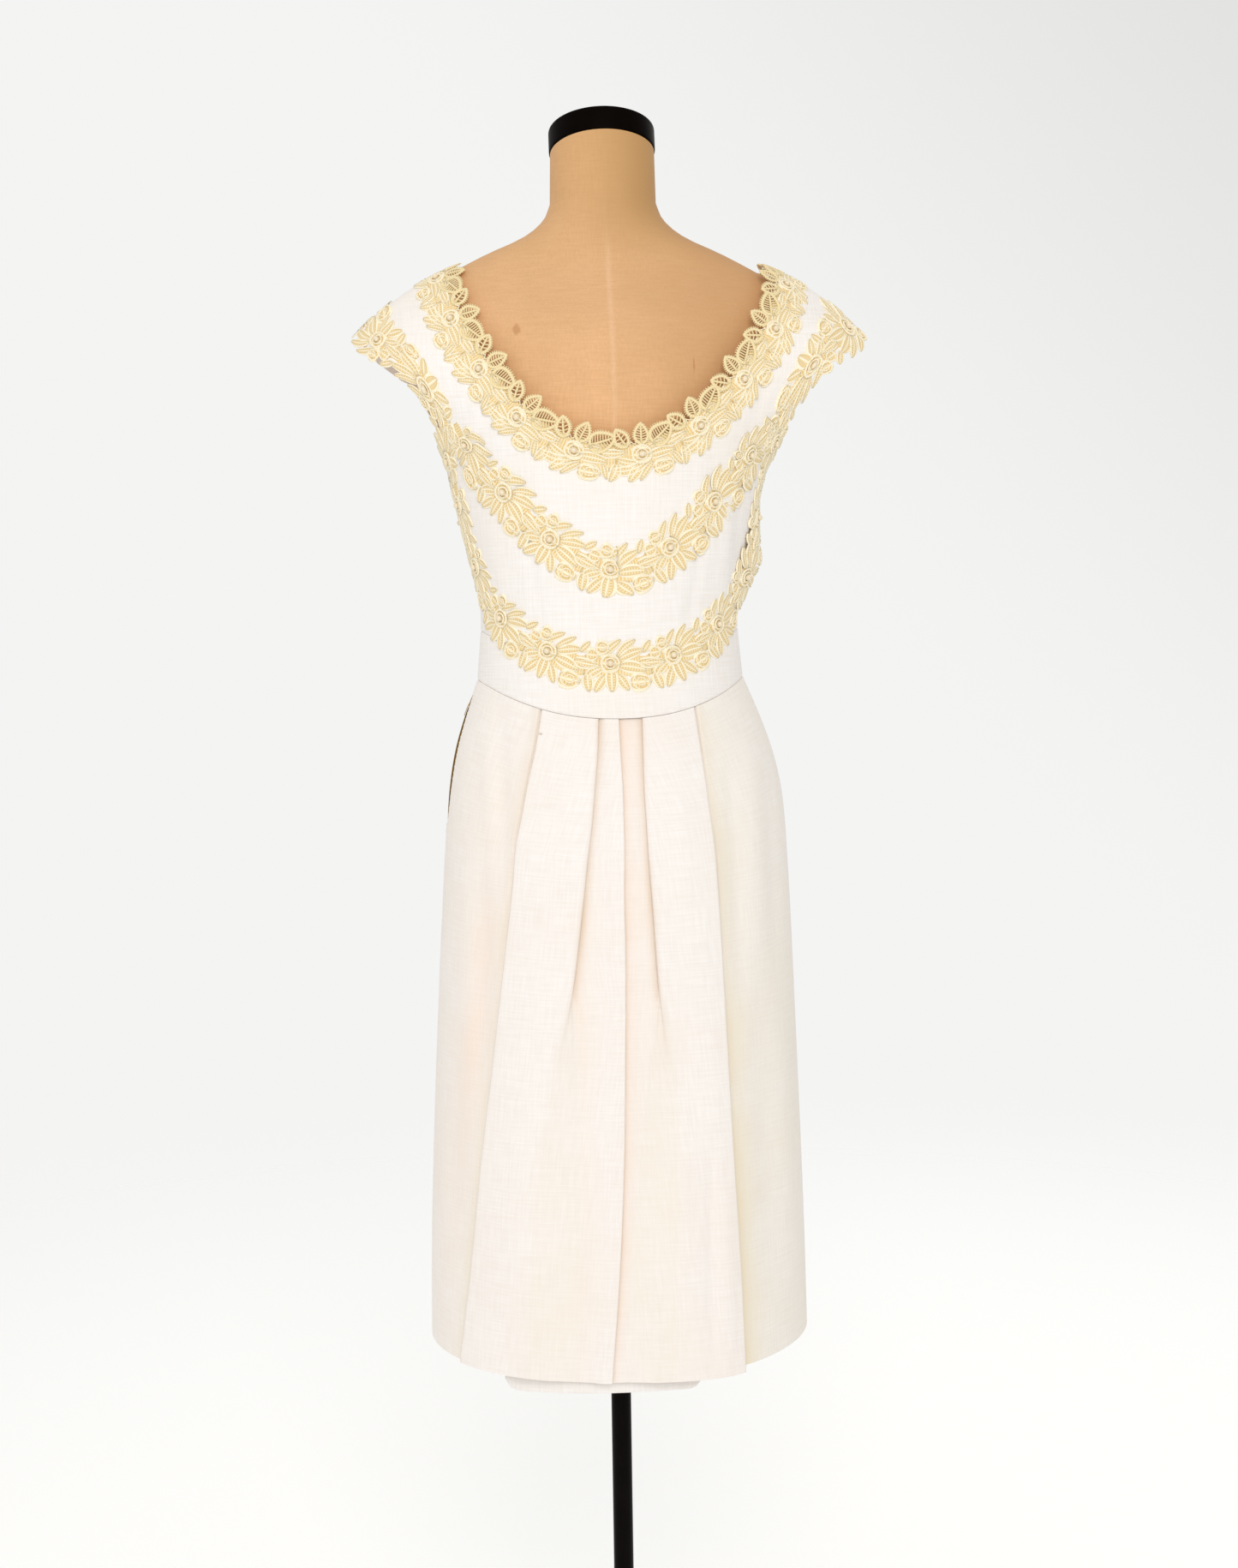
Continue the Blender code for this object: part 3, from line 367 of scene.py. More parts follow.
def stops(ramp, first, last, others):
    """Sets a colour ramp's stops, from its two ends' colours and the places and colours between."""
    elements = ramp.color_ramp.elements
    elements[0].color, elements[1].color = first, last
    for place, colour in others:
        elements.new(place).color = colour


# Stretched cotton, plain woven, tan and worn, with painted shade darker towards the neck and on its right:
# matt, with a fine uneven thread.
cotton, tree, shader = material("Tan cotton cover", {
    "Roughness": 0.85, "Specular IOR Level": 0.2, "Sheen Weight": 0.08, "Sheen Roughness": 0.4,
})
place = add(tree, "ShaderNodeTexCoord", {})
places = add(tree, "ShaderNodeSeparateXYZ", {"Vector": place.outputs["Object"]})
# Painted shade: the cover is drawn darker towards the neck.
height_share = add(tree, "ShaderNodeMapRange", {
    "Value": places.outputs["Z"], "From Min": 1.2, "From Max": 1.56,
})
height_shade = add(tree, "ShaderNodeValToRGB", {"Fac": height_share})
between_ends = ((0.35, "#EBBA8A"), (0.60, "#E3B487"), (0.72, "#DDB081"), (0.84, "#DDAF7E"))
stops(height_shade, linear("#EDBA88"), linear("#DBAD7A"), [(place, linear(code)) for place, code in between_ends])
mottle = add(tree, "ShaderNodeTexNoise", {"Vector": place.outputs["Object"], "Scale": 22.0, "Detail": 6.0})
mottle_share = add(tree, "ShaderNodeMapRange", {
    "Value": mottle, "From Min": 0.35, "From Max": 0.65, "To Max": 0.35,
})
# Painted shade: the cover is drawn darker on its right.
side_shade = add(tree, "ShaderNodeMapRange", {
    "interpolation_type": "SMOOTHSTEP", "Value": places.outputs["X"], "From Min": 0.03, "From Max": -0.11,
    "To Max": 0.65,
})
# Painted shade: the neck is drawn darker still, most on its right.
neck_shade_side = add(tree, "ShaderNodeMapRange", {
    "interpolation_type": "SMOOTHSTEP", "Value": places.outputs["X"], "From Min": 0.052, "From Max": -0.04,
    "To Max": 0.57,
})
neck_height = add(tree, "ShaderNodeMapRange", {
    "interpolation_type": "SMOOTHSTEP", "Value": places.outputs["Z"], "From Min": 1.44, "From Max": 1.5,
})
neck_shade = add(tree, "ShaderNodeMath", {"operation": "MULTIPLY", 0: neck_shade_side, 1: neck_height})
off_seam = add(tree, "ShaderNodeMath", {"operation": "ABSOLUTE", 0: places.outputs["X"]})
on_ridge = add(tree, "ShaderNodeMapRange", {
    "interpolation_type": "SMOOTHSTEP", "From Max": RIDGE_HALF, "Value": off_seam, "To Min": 0.3,
    "To Max": 0.0,
})
below_neck = add(tree, "ShaderNodeMapRange", {
    "From Max": RIDGE_TOP, "Value": places.outputs["Z"], "From Min": RIDGE_TOP - 0.04, "To Min": 1.0,
    "To Max": 0.0,
})
ridge = add(tree, "ShaderNodeMath", {"operation": "MULTIPLY", 0: on_ridge, 1: below_neck})
rough_edge = add(tree, "ShaderNodeTexNoise", {
    "Vector": place.outputs["Object"], "Scale": 350.0, "Detail": 2.0,
})
layers = [(mottle_share, "#D3A878"), (side_shade, "#C6986A"), (neck_shade, "#AD8650"), (ridge, "#F6D0AC")]
for centre, half_sizes in SCUFFS:
    off = add(tree, "ShaderNodeVectorMath", {"operation": "SUBTRACT", 0: place.outputs["Object"], 1: centre})
    scaled = add(tree, "ShaderNodeVectorMath", {"operation": "DIVIDE", 0: off, 1: half_sizes})
    far = add(tree, "ShaderNodeVectorMath", {"operation": "LENGTH", 0: scaled})
    frayed = add(tree, "ShaderNodeMath", {"operation": "MULTIPLY_ADD", 0: rough_edge, 1: 0.9, 2: far})
    scuffed = add(tree, "ShaderNodeMapRange", {
        "Value": frayed, "From Min": 0.95, "From Max": 1.35, "To Min": 0.55, "To Max": 0.0,
    })
    layers.append((scuffed, "#B37B4C"))
# Its threads lie 0.5 mm apart. They are drawn 1.2 mm apart so that the weave shows.
weave = woven(tree, place.outputs["Object"], ((820.0, 820.0, 70.0), (60.0, 60.0, 820.0)), 2.0)
grain = add(tree, "ShaderNodeMapRange", {
    "Value": weave, "From Min": 0.7, "From Max": 1.3, "To Min": 0.32, "To Max": 0.0,
})
shade = height_shade
for share, code in (*layers, (grain, "#C2915F")):
    shade = add(tree, "ShaderNodeMix", {"data_type": "RGBA", 0: share, 6: shade, 7: linear(code)})
bump = add(tree, "ShaderNodeBump", {"Height": weave, "Strength": 0.3, "Distance": 0.0003})
fill(shader, {"Base Color": shade, "Normal": bump})


def tube(first, rings, around, ends="capped"):
    """Faces round a tube of rings of points, numbered from first. Its ends are capped, open or joined."""
    faces = []
    for ring in range(rings if ends == "joined" else rings - 1):
        low, high = first + ring * around, first + (ring + 1) % rings * around
        for i in range(around):
            j = (i + 1) % around
            faces.append((low + i, low + j, high + j, high + i))
    if ends == "capped":
        last = first + (rings - 1) * around
        faces += [range(first + around - 1, first - 1, -1), range(last, last + around)]
    return faces


FORM_SIDES = 144
ring_heights = [row[0] for row in FORM_RINGS]
form_turn = np.linspace(0, 2 * pi, FORM_SIDES, endpoint=False)
heights_of_rings = np.concatenate([np.linspace(0.800, 0.812, 5)[:-1], np.linspace(0.812, 1.502, 116)])
rings = []
for height in heights_of_rings:
    half_width, back, front = between(ring_heights, [row[1:] for row in FORM_RINGS], height)
    x = half_width * np.sin(form_turn)
    depth = np.where(np.cos(form_turn) > 0, back, front)
    ridge_high = 0.0005 * np.exp(-((x / (RIDGE_HALF / 2)) ** 2))
    y = (depth + ridge_high) * np.cos(form_turn)
    rings.append(np.stack([x, y, np.full(FORM_SIDES, height)], axis=1))
neck_y = NECK_RADIUS * np.cos(form_turn)
neck = np.stack([NECK_RADIUS * np.sin(form_turn), neck_y, NECK_TOP + neck_y * tan(NECK_LEAN)], axis=1)
for share in np.linspace(0, 1, 14)[1:]:
    rings.append(rings[len(heights_of_rings) - 1] * (1 - share) + neck * share)
points = np.concatenate([*rings, [[0, 0, FORM_BOTTOM], [0, 0, NECK_TOP]]])
faces = tube(0, len(rings), FORM_SIDES, "open")
last = (len(rings) - 1) * FORM_SIDES
for i in range(FORM_SIDES):
    j = (i + 1) % FORM_SIDES
    faces.append((j, i, len(points) - 2))
    faces.append((last + i, last + j, len(points) - 1))
finished("Form_torso", points, faces, cotton, "form_cover", ["form_torso"])

# Neck cap
# A turned disc that closes the neck, lacquered black. It lies on the neck's slope.
CAP_RADIUS = 0.0485
CAP_HEIGHT = 0.023

# Black lacquer on wood: near black with a brown depth, a soft gloss and a faint grain.
lacquer, tree, shader = material("Black lacquer", {"Roughness": 0.45, "Specular IOR Level": 0.02})
grain = mottled(tree, shader, 140.0, 3.0, "#040201", "#0C0604")
bump = add(tree, "ShaderNodeBump", {"Height": grain, "Strength": 0.05, "Distance": 0.0005})
fill(shader, {"Normal": bump})

cap_profile = [(0, CAP_HEIGHT), (CAP_RADIUS, CAP_HEIGHT), (CAP_RADIUS, 0), (0, 0)]
points, faces = turned(softened(cap_profile, 0.003, 6), 128)
tilt = Matrix.Translation((0, 0, NECK_TOP + SEAM_GAP)) @ Matrix.Rotation(NECK_LEAN, 4, "X")
points = [tilt @ Vector(point) for point in points]
finished("Neck_cap", points, faces, lacquer, "cap", ["neck_cap"], sharp=50)

# Bodice
# Two back halves and a front of ivory slubbed linen, with cap sleeves cut in one with them.
# They are sewn together at the centre back, the sides and the shoulders, and to the yoke below.
CLOTH = 0.0012
HALF_SEAM_GAP = 0.00015
# At the waist, one section lies this far above another.
WAIST_SECTION_STEP = 0.035
BODICE_SECTIONS = [
    # back_z, back_depth, front_z, front_depth, outer_x, outer_depth, outer_z, drop
    (1.037, 0.0985, 1.037, 0.103, 0.1225, 0, 1.07, 2.28),
    (1.083, 0.0925, 1.083, 0.0975, 0.1185, 0, 1.115, 2.28),
    (1.105, 0.0925, 1.105, 0.099, 0.1185, 0, 1.135, 2.28),
    (1.135, 0.0955, 1.135, 0.107, 0.1225, 0, 1.16, 2.28),
    (1.17, 0.0995, 1.17, 0.1165, 0.129, 0, 1.19, 2.28),
    (1.205, 0.1025, 1.205, 0.123, 0.136, 0, 1.22, 2.28),
    (1.24, 0.1045, 1.24, 0.1245, 0.143, 0, 1.25, 2.28),
    (1.264, 0.1045, 1.272, 0.1205, 0.1495, 0.024, 1.27, 2.28),
    (1.287, 0.104, 1.306, 0.1125, 0.158, 0.043, 1.294, 2.28),
    (1.314, 0.102, 1.34, 0.102, 0.167, 0.053, 1.315, 2.28),
    (1.349, 0.093, 1.375, 0.089, 0.18, 0.056, 1.334, 2.28),
    (1.396, 0.0765, 1.407, 0.0755, 0.197, 0.052, 1.348, 2.28),
    (1.44, 0.0545, 1.44, 0.0545, 0.213, 0.04, 1.363, 2.45),
    (1.456, 0.0297, 1.456, 0.0297, 0.2255, 0.024, 1.375, 2.8),
    (1.4605, 0.015, 1.4605, 0.015, 0.2297, 0.012, 1.3835, 3),
    (1.462, 0.0005, 1.462, 0.0005, 0.231, 0.0004, 1.386, 3.1),
]
BACK_NECKLINE = [
    # section, x
    (7.45, 0),
    (7.6, 0.027),
    (8, 0.051),
    (9, 0.087),
    (10, 0.111),
    (11, 0.1315),
    (12, 0.1455),
    (13, 0.1505),
    (15, 0.1515),
]
FRONT_NECKLINE = [
    # section, x
    (9.34, 0),
    (9.5, 0.03),
    (10, 0.076),
    (11, 0.112),
    (12, 0.138),
    (13, 0.1495),
    (15, 0.1515),
]
WAIST_SECTION = 1
SHOULDER_SECTION = 15
# At the shoulders the dress has slid a little towards the wearer's right.
SHOULDER_SLIP = 0.006
SLIP_FROM = 1.28
SLIP_TO = 1.40
# The skirt has swung a little that way too, and the left armhole's edge lies closer to the form.
HIP_SWING = [
    # height, how far
    (0.56, 0),
    (0.7, 0.001),
    (0.8, 0.0022),
    (0.9, 0.0034),
    (0.97, 0.0036),
    (1.03, 0.0014),
    (1.07, 0.0002),
    (1.1, 0),
]
# The sleeves' lower edges hang straighter than they were cut.
SLEEVE_UP = 0.0065
SLEEVE_MIDDLE = (0.190, 1.338)
SLEEVE_REACH = (0.022, 0.028)
ARMHOLE_HEIGHT = 1.305
ARMHOLE_REACH = 0.034
LEFT_ARMHOLE_IN = 0.0065
RIGHT_ARMHOLE_IN = 0.0020


def smooth_rows(table):
    """A table's rows with a hundred finer ones between each two, on a smooth curve through all."""
    rows = np.array(table)
    positions = np.linspace(0, len(rows) - 1, 100 * (len(rows) - 1) + 1)
    return between(np.arange(len(rows)), rows, positions)


def row_at(fine, position):
    """The values of a smoothed table at positions counted in its first rows."""
    place = np.clip(np.asarray(position, dtype=float) * 100, 0, len(fine) - 1)
    index = np.minimum(place.astype(int), len(fine) - 2)
    share = (place - index)[..., None]
    return np.moveaxis(fine[index] * (1 - share) + fine[index + 1] * share, -1, 0)


BACK_ROWS = smooth_rows([row[:2] + row[4:] for row in BODICE_SECTIONS])
FRONT_ROWS = smooth_rows([row[2:] for row in BODICE_SECTIONS])


def shell_point(facing, angle, section):
    """Places on the inner face of the bodice's full shape, before the neckline is cut out of it."""
    rows = BACK_ROWS if facing > 0 else FRONT_ROWS
    centre_z, depth, outer_x, outer_depth, outer_z, drop = row_at(rows, section)
    half_width = outer_x / np.sqrt(1 - np.clip(outer_depth / depth, 0, 0.9) ** 2)
    x = half_width * np.sin(angle)
    z = centre_z + (outer_z - centre_z) * (np.abs(x) / outer_x) ** drop
    return np.stack([x, facing * depth * np.cos(angle), z], axis=-1)


def neck_x(neckline, section):
    """The neckline's x at a section: a smooth curve that leaves the centre line level."""
    first = neckline[0][0]
    roots = [(row[0] - first) ** 0.5 for row in neckline]
    return between(roots, [[row[1]] for row in neckline], np.sqrt(np.maximum(section - first, 0)))[..., 0]


def angle_at(facing, across, section):
    """The angle of a place a share of the way across a section, 0 at the inner end to 1 outer."""
    rows, neckline = (BACK_ROWS, BACK_NECKLINE) if facing > 0 else (FRONT_ROWS, FRONT_NECKLINE)
    _, depth, outer_x, outer_depth, _, _ = row_at(rows, section)
    half_width = outer_x / np.sqrt(1 - np.clip(outer_depth / depth, 0, 0.9) ** 2)
    first = np.arcsin(neck_x(neckline, section) / half_width)
    return first + (np.arcsin(outer_x / half_width) - first) * across


def outward(facing, angle, section):
    """The full shape's unit normals, away from the form's axis."""
    step = 1e-4
    along = shell_point(facing, angle + step, section) - shell_point(facing, angle - step, section)
    up = shell_point(facing, angle, section + step) - shell_point(facing, angle, section - step)
    normals = np.cross(along, up)
    normals /= np.linalg.norm(normals, axis=-1, keepdims=True)
    here = shell_point(facing, angle, section)
    axis = np.zeros_like(here)
    axis[..., 2] = np.minimum(here[..., 2], 1.30)
    side = np.sign((normals * (here - axis)).sum(axis=-1, keepdims=True))
    return normals * side


def swing_at(z):
    """How far the skirt has swung towards the wearer's right at a height."""
    heights = [row[0] for row in HIP_SWING]
    return between(heights, [row[1:] for row in HIP_SWING], np.clip(z, heights[0], heights[-1]))[..., 0]


def slipped(points):
    """The points of the dress, slid sideways at the shoulders as it hangs on the form."""
    x, z = points[..., 0], points[..., 2]
    share = np.clip((z - SLIP_FROM) / (SLIP_TO - SLIP_FROM), 0, 1)
    at_side = np.clip((np.abs(x) - 0.10) / 0.05, 0, 1)
    at_side = at_side * np.exp(-(((z - ARMHOLE_HEIGHT) / ARMHOLE_REACH) ** 2))
    inwards = at_side * np.where(x > 0, LEFT_ARMHOLE_IN, -RIGHT_ARMHOLE_IN)
    across, up = (np.abs(x) - SLEEVE_MIDDLE[0]) / SLEEVE_REACH[0], (z - SLEEVE_MIDDLE[1]) / SLEEVE_REACH[1]
    moved = points.copy()
    moved[..., 0] -= SHOULDER_SLIP * share**2 * (3 - 2 * share) + swing_at(z) + inwards
    moved[..., 2] += SLEEVE_UP * np.exp(-(across**2) - up**2)
    return moved


def lengths_along(points, axis):
    """How far each point of a grid lies from the first one, along its rows or its columns."""
    steps = np.linalg.norm(np.diff(points, axis=axis), axis=-1)
    return np.insert(np.cumsum(steps, axis=axis), 0, 0.0, axis=axis)


def wall(outer, inner, kept=None):
    """Points and faces of a closed wall between two grids of points, less the cells not kept."""
    if kept is None:
        kept = np.ones((outer.shape[0] - 1, outer.shape[1] - 1), dtype=bool)
    index = np.arange(outer.shape[0] * outer.shape[1]).reshape(outer.shape[:2])
    corners = [index[:-1, :-1], index[:-1, 1:], index[1:, 1:], index[1:, :-1]]
    framed = np.pad(kept, 1)
    beyond = [framed[:-2, 1:-1], framed[1:-1, 2:], framed[2:, 1:-1], framed[1:-1, :-2]]
    quads = np.stack([corner[kept] for corner in corners], axis=1)
    sides = []
    for k in range(4):
        edge = kept & ~beyond[k]
        start, end = corners[k][edge], corners[(k + 1) % 4][edge]
        sides.append(np.stack([end, start, start + index.size, end + index.size], axis=1))
    points = np.concatenate([outer.reshape(-1, 3), inner.reshape(-1, 3)])
    return points, np.concatenate([quads, quads[:, ::-1] + index.size, *sides]).tolist()


def creased(points, outs, creases):
    """Points moved out or in by soft ridges and troughs along lines between two (x, z) places."""
    moved = points.copy()
    for x_top, z_top, x_low, z_low, width, height in creases:
        run = np.array((x_low - x_top, z_low - z_top))
        flat = points[..., [0, 2]] - (x_top, z_top)
        share = (flat @ run) / (run @ run)
        beside = np.linalg.norm(flat - np.clip(share, 0, 1)[..., None] * run, axis=-1)
        fading = np.sin(pi * np.clip((share + 0.12) / 1.24, 0, 1)) ** 0.7
        moved += outs * (height * np.exp(-((beside / width) ** 2)) * fading)[..., None]
    return moved


def cloth(name, grids, kept=None, shut=False, creases=()):
    """A linen panel from the points of its inner face, its normals and its cut. Where its first edge is
    shut against its pair, that edge doesn't turn in."""
    inner, normals, uvs = grids
    inner = creased(inner, normals, creases)
    starts, ends = lengths_along(inner, 1), lengths_along(inner[:, ::-1], 1)[:, ::-1]
    across = np.minimum(starts + shut, ends)
    down = np.minimum(lengths_along(inner, 0), lengths_along(inner[::-1], 0)[::-1])
    edge = np.minimum(across, down)[..., None]
    # Each edge turns in over its last millimetre and a half, as a pressed seam does.
    roll = 0.0008 * np.exp(-((edge / 0.0011) ** 2))
    outer = inner + normals * (CLOTH - roll)
    points, faces = wall(slipped(outer), slipped(inner), kept)
    uvs = np.concatenate([uvs, uvs]).reshape(-1, 2)
    made = finished(name, points, faces, linen, "linen", [name.lower()], uvs, sharp=60)
    return made


def seam_places(start, end, count, near):
    """Places from start to end, with three more close to each end, the last in by near."""
    share = np.linspace(0, 1, count)
    extra = near * np.array([1.0, 2.5, 5.0])
    return start + (end - start) * np.sort(np.concatenate([share, extra, 1 - extra]))


# Linen, plain woven from slubbed thread, off-white: matt, with a dry sheen. It has yellowed unevenly over
# the years, and its folds and hollows carry painted shade in blush, straw and tan.
linen, tree, shader = material("Ivory slubbed linen", {
    "Roughness": 0.85, "Specular IOR Level": 0.2, "Sheen Weight": 0.08, "Sheen Roughness": 0.45,
})
cut = add(tree, "ShaderNodeUVMap", {"uv_map": "cut"})
place = add(tree, "ShaderNodeTexCoord", {})
# Threads lie 0.45 mm apart. They are drawn 1.5 mm apart so that the weave shows.
weave = woven(tree, cut, ((560.0, 34.0, 1.0), (30.0, 620.0, 1.0)), 3.0)
tone = add(tree, "ShaderNodeMapRange", {"Value": weave, "From Min": 0.7, "From Max": 1.3})
shade = add(tree, "ShaderNodeMix", {"data_type": "RGBA", 0: tone, 6: linear("#F0EAE4"), 7: linear("#F8F4F1")})
blotches = add(tree, "ShaderNodeTexNoise", {"Vector": place.outputs["Object"], "Scale": 9.0, "Detail": 4.0})
aged = add(tree, "ShaderNodeMapRange", {
    "Value": blotches, "From Min": 0.42, "From Max": 0.72, "To Max": 0.25,
})
shade = add(tree, "ShaderNodeMix", {"data_type": "RGBA", 0: aged, 6: shade, 7: linear("#F1E6D8")})
# Painted shade: a point attribute gives shares of blush, straw and tan for the folds' hollows, made patchy by
# the yellowing's noise.
fold_shaded = add(tree, "ShaderNodeAttribute", {"attribute_name": "toning"})
tonings = add(tree, "ShaderNodeSeparateXYZ", {"Vector": fold_shaded.outputs["Vector"]})
uneven = add(tree, "ShaderNodeMapRange", {
    "Value": blotches, "From Min": 0.3, "From Max": 0.7, "To Min": 0.65, "To Max": 1.2,
})
for axis, code in (("X", "#F7DDCC"), ("Y", "#EFE3C9"), ("Z", "#D3B48E")):
    share = add(tree, "ShaderNodeMath", {
        "operation": "MULTIPLY", "use_clamp": True, 0: tonings.outputs[axis], 1: uneven,
    })
    shade = add(tree, "ShaderNodeMix", {"data_type": "RGBA", 0: share, 6: shade, 7: linear(code)})
bump = add(tree, "ShaderNodeBump", {"Height": weave, "Strength": 0.25, "Distance": 0.0003})
fill(shader, {"Base Color": shade, "Normal": bump})


def bodice_grid(facing, sections, columns):
    """Points, normals and cut places over one half of the bodice or the yoke."""
    across, section = np.meshgrid(columns, sections)
    angle = angle_at(facing, across, section)
    points = shell_point(facing, angle, section)
    outs = outward(facing, angle, section)
    from_centre = np.linalg.norm(points[:, :1, :2] * (1, 0), axis=-1)
    uvs = np.stack([from_centre + lengths_along(points, 1), points[:, :, 2]], axis=-1)
    return points, outs, uvs


def sections_up(neckline):
    """Sections from the waist seam to the shoulder, one where the neckline starts and more above."""
    start = neckline[0][0]
    first = WAIST_SECTION + HALF_SEAM_GAP / WAIST_SECTION_STEP
    below = seam_places(first, start, round((start - first) * 11), 0.0015)
    above = start + (SHOULDER_SECTION - 0.02 - start) * np.linspace(0, 1, 64)[1:] ** 1.3
    return np.concatenate([below, above])


BACK_CREASES = [
    # x_top, z_top, x_low, z_low, width, height
    (0.086, 1.255, 0.066, 1.118, 0.0045, -0.0011),
    (-0.087, 1.262, -0.064, 1.112, 0.005, -0.0014),
    (0.112, 1.215, 0.1, 1.15, 0.009, 0.0012),
    (-0.104, 1.235, -0.099, 1.14, 0.0075, 0.0016),
    (-0.116, 1.29, -0.112, 1.185, 0.006, -0.0013),
    (-0.14, 1.36, -0.124, 1.29, 0.006, -0.0012),
    (0.118, 1.345, 0.11, 1.27, 0.008, -0.001),
    (0.028, 1.205, -0.04, 1.196, 0.005, 0.0007),
    (-0.02, 1.16, 0.052, 1.152, 0.0045, -0.0006),
    (0.095, 1.122, 0.03, 1.104, 0.005, 0.0008),
    (-0.09, 1.128, -0.036, 1.108, 0.0045, 0.0009),
]
FRONT_CREASES = [
    # x_top, z_top, x_low, z_low, width, height
    (0.074, 1.235, 0.052, 1.118, 0.0045, -0.0012),
    (-0.074, 1.235, -0.052, 1.118, 0.0045, -0.0012),
    (0.126, 1.25, 0.078, 1.242, 0.005, -0.001),
    (-0.126, 1.246, -0.08, 1.24, 0.005, -0.0011),
    (0.124, 1.335, 0.1, 1.275, 0.008, 0.0012),
    (-0.128, 1.345, -0.106, 1.27, 0.007, 0.0014),
    (0.04, 1.175, -0.03, 1.168, 0.0055, 0.0007),
    (0.1, 1.126, 0.04, 1.106, 0.005, 0.0009),
    (-0.088, 1.13, -0.044, 1.11, 0.006, 0.0008),
]
HALF_COLUMNS = seam_places(0.0, 0.999, 60, 0.0035)


def of_hand(grids, hand):
    """The grids of a half panel, on the wearer's left for 1 and on the right for -1."""
    return [grid * ((hand, 1.0, 1.0) if grid.shape[-1] == 3 else (hand, 1)) for grid in grids]


def both_halves(grids, last=None):
    """The grids of a whole panel from its left half. With last=0 the halves share their middle column."""
    pairs = zip(of_hand(grids, -1), grids)
    return [np.concatenate([right[:, :last:-1], left], axis=1) for right, left in pairs]


back_half = bodice_grid(1, sections_up(BACK_NECKLINE), HALF_COLUMNS)
for hand, side in ((1, "left"), (-1, "right")):
    cloth(
        f"Bodice_back_{side}", of_hand(back_half, hand), shut=True, creases=BACK_CREASES
    )
front_half = bodice_grid(-1, sections_up(FRONT_NECKLINE), HALF_COLUMNS)
front = both_halves(front_half)
kept = np.ones((front[0].shape[0] - 1, front[0].shape[1] - 1), dtype=bool)
kept[:, front_half[0].shape[1] - 1] = front_half[0][1:, 0, 0] < 1e-6
cloth("Bodice_front", front, kept=kept, creases=FRONT_CREASES)

# Yoke
# A curved band of the same linen round the midriff, in two back halves and a front.
# It is sewn between the bodice and the skirt, and stands a little proud of the skirt's gathers.
yoke_sections = seam_places(0.0, WAIST_SECTION - 0.0043, 16, 0.008)
yoke_half = bodice_grid(1, yoke_sections, HALF_COLUMNS)
for hand, side in ((1, "left"), (-1, "right")):
    grids = of_hand(yoke_half, hand)
    cloth(f"Yoke_back_{side}", grids, shut=True)
yoke_half = bodice_grid(-1, yoke_sections, HALF_COLUMNS)
cloth("Yoke_front", both_halves(yoke_half, 0))

# Skirt
# The same linen: a plain front, two back halves folded into pleats, and an underlay behind them.
# All hang from the yoke's lower seam. The zip's side seam stands a little open.
SEAM_RISE = 2.28
SKIRT_LEVELS = [
    # side_z, dip, half_width, back, front
    (1.07, 0.033, 0.1225, 0.0985, 0.103),
    (1.032, 0.03, 0.1375, 0.1035, 0.107),
    (1, 0.026, 0.1475, 0.108, 0.11),
    (0.968, 0.022, 0.154, 0.1125, 0.1125),
    (0.936, 0.018, 0.1575, 0.1155, 0.115),
    (0.9, 0.014, 0.16, 0.118, 0.117),
    (0.84, 0.009, 0.1635, 0.121, 0.1185),
    (0.74, 0.004, 0.1685, 0.126, 0.121),
    (0.64, 0.002, 0.173, 0.131, 0.124),
    (0.54, 0.003, 0.1767, 0.135, 0.127),
    (0.451, 0.006, 0.1785, 0.138, 0.13),
]
# The skirt's radius at its side seams turns lengths into angles, and the front's turns angles into lengths.
SIDE_RADIUS = 0.09
FRONT_RADIUS = 0.14
PLACKET_TOP = 1.060
PLACKET_BOTTOM = 0.936
PLACKET_OPEN = 0.0016
# Beside the zip the back half's edge stands off further, and both edges dip in so that its teeth show.
BACK_OPEN = 0.0014
BACK_DIP = 0.0019
FRONT_DIP = 0.0010
DIP_REACH = 0.018
# A minus tuck_depth is a tuck that has opened into a slope. Distances from the centre are in x.
LEFT_PLEAT = [
    # outer_fold, tuck, tuck_depth, centre, lift, underlay_edge
    (0.0668, 0.019, 0.014, 0.002, 0, 0.04),
    (0.0735, 0.021, 0.014, 0.001, 0.0005, 0.043),
    (0.0805, 0.024, 0.013, 0, 0.001, 0.046),
    (0.0865, 0.027, 0.012, 0, 0.0015, 0.049),
    (0.0925, 0.031, 0.01, 0, 0.002, 0.052),
    (0.0955, 0.035, 0.008, 0.001, 0.0025, 0.056),
    (0.1025, 0.042, 0.0045, 0.001, 0.003, 0.063),
    (0.115, 0.056, -0.006, 0.003, 0.0035, 0.076),
    (0.1275, 0.066, -0.012, 0.006, 0.004, 0.088),
    (0.1385, 0.074, -0.016, 0.012, 0.0045, 0.102),
    (0.1495, 0.08, -0.018, 0.02, 0.005, 0.118),
]
RIGHT_PLEAT = [
    # outer_fold, tuck, tuck_depth, centre, lift, underlay_edge
    (0.0683, 0.021, 0.014, 0, 0, 0.04),
    (0.0725, 0.021, 0.014, 0.001, 0.001, 0.041),
    (0.0755, 0.021, 0.013, 0.002, 0.002, 0.043),
    (0.078, 0.022, 0.012, 0.002, 0.003, 0.045),
    (0.0805, 0.023, 0.01, 0.002, 0.0045, 0.047),
    (0.082, 0.025, 0.008, 0.001, 0.006, 0.049),
    (0.084, 0.028, 0.0045, 0.001, 0.0075, 0.052),
    (0.087, 0.033, -0.006, -0.001, 0.0095, 0.055),
    (0.0903, 0.031, -0.012, -0.004, 0.011, 0.058),
    (0.0943, 0.027, -0.016, -0.01, 0.0125, 0.062),
    (0.0965, 0.024, -0.018, -0.018, 0.014, 0.066),
]
FOLD_UNDER = 0.022
PLEAT_PITCH_TOP = 0.0016
PLEAT_PITCH_HEM = 0.0030
FOLD_PITCH_TOP = 0.0015
FOLD_PITCH_HEM = 0.0019
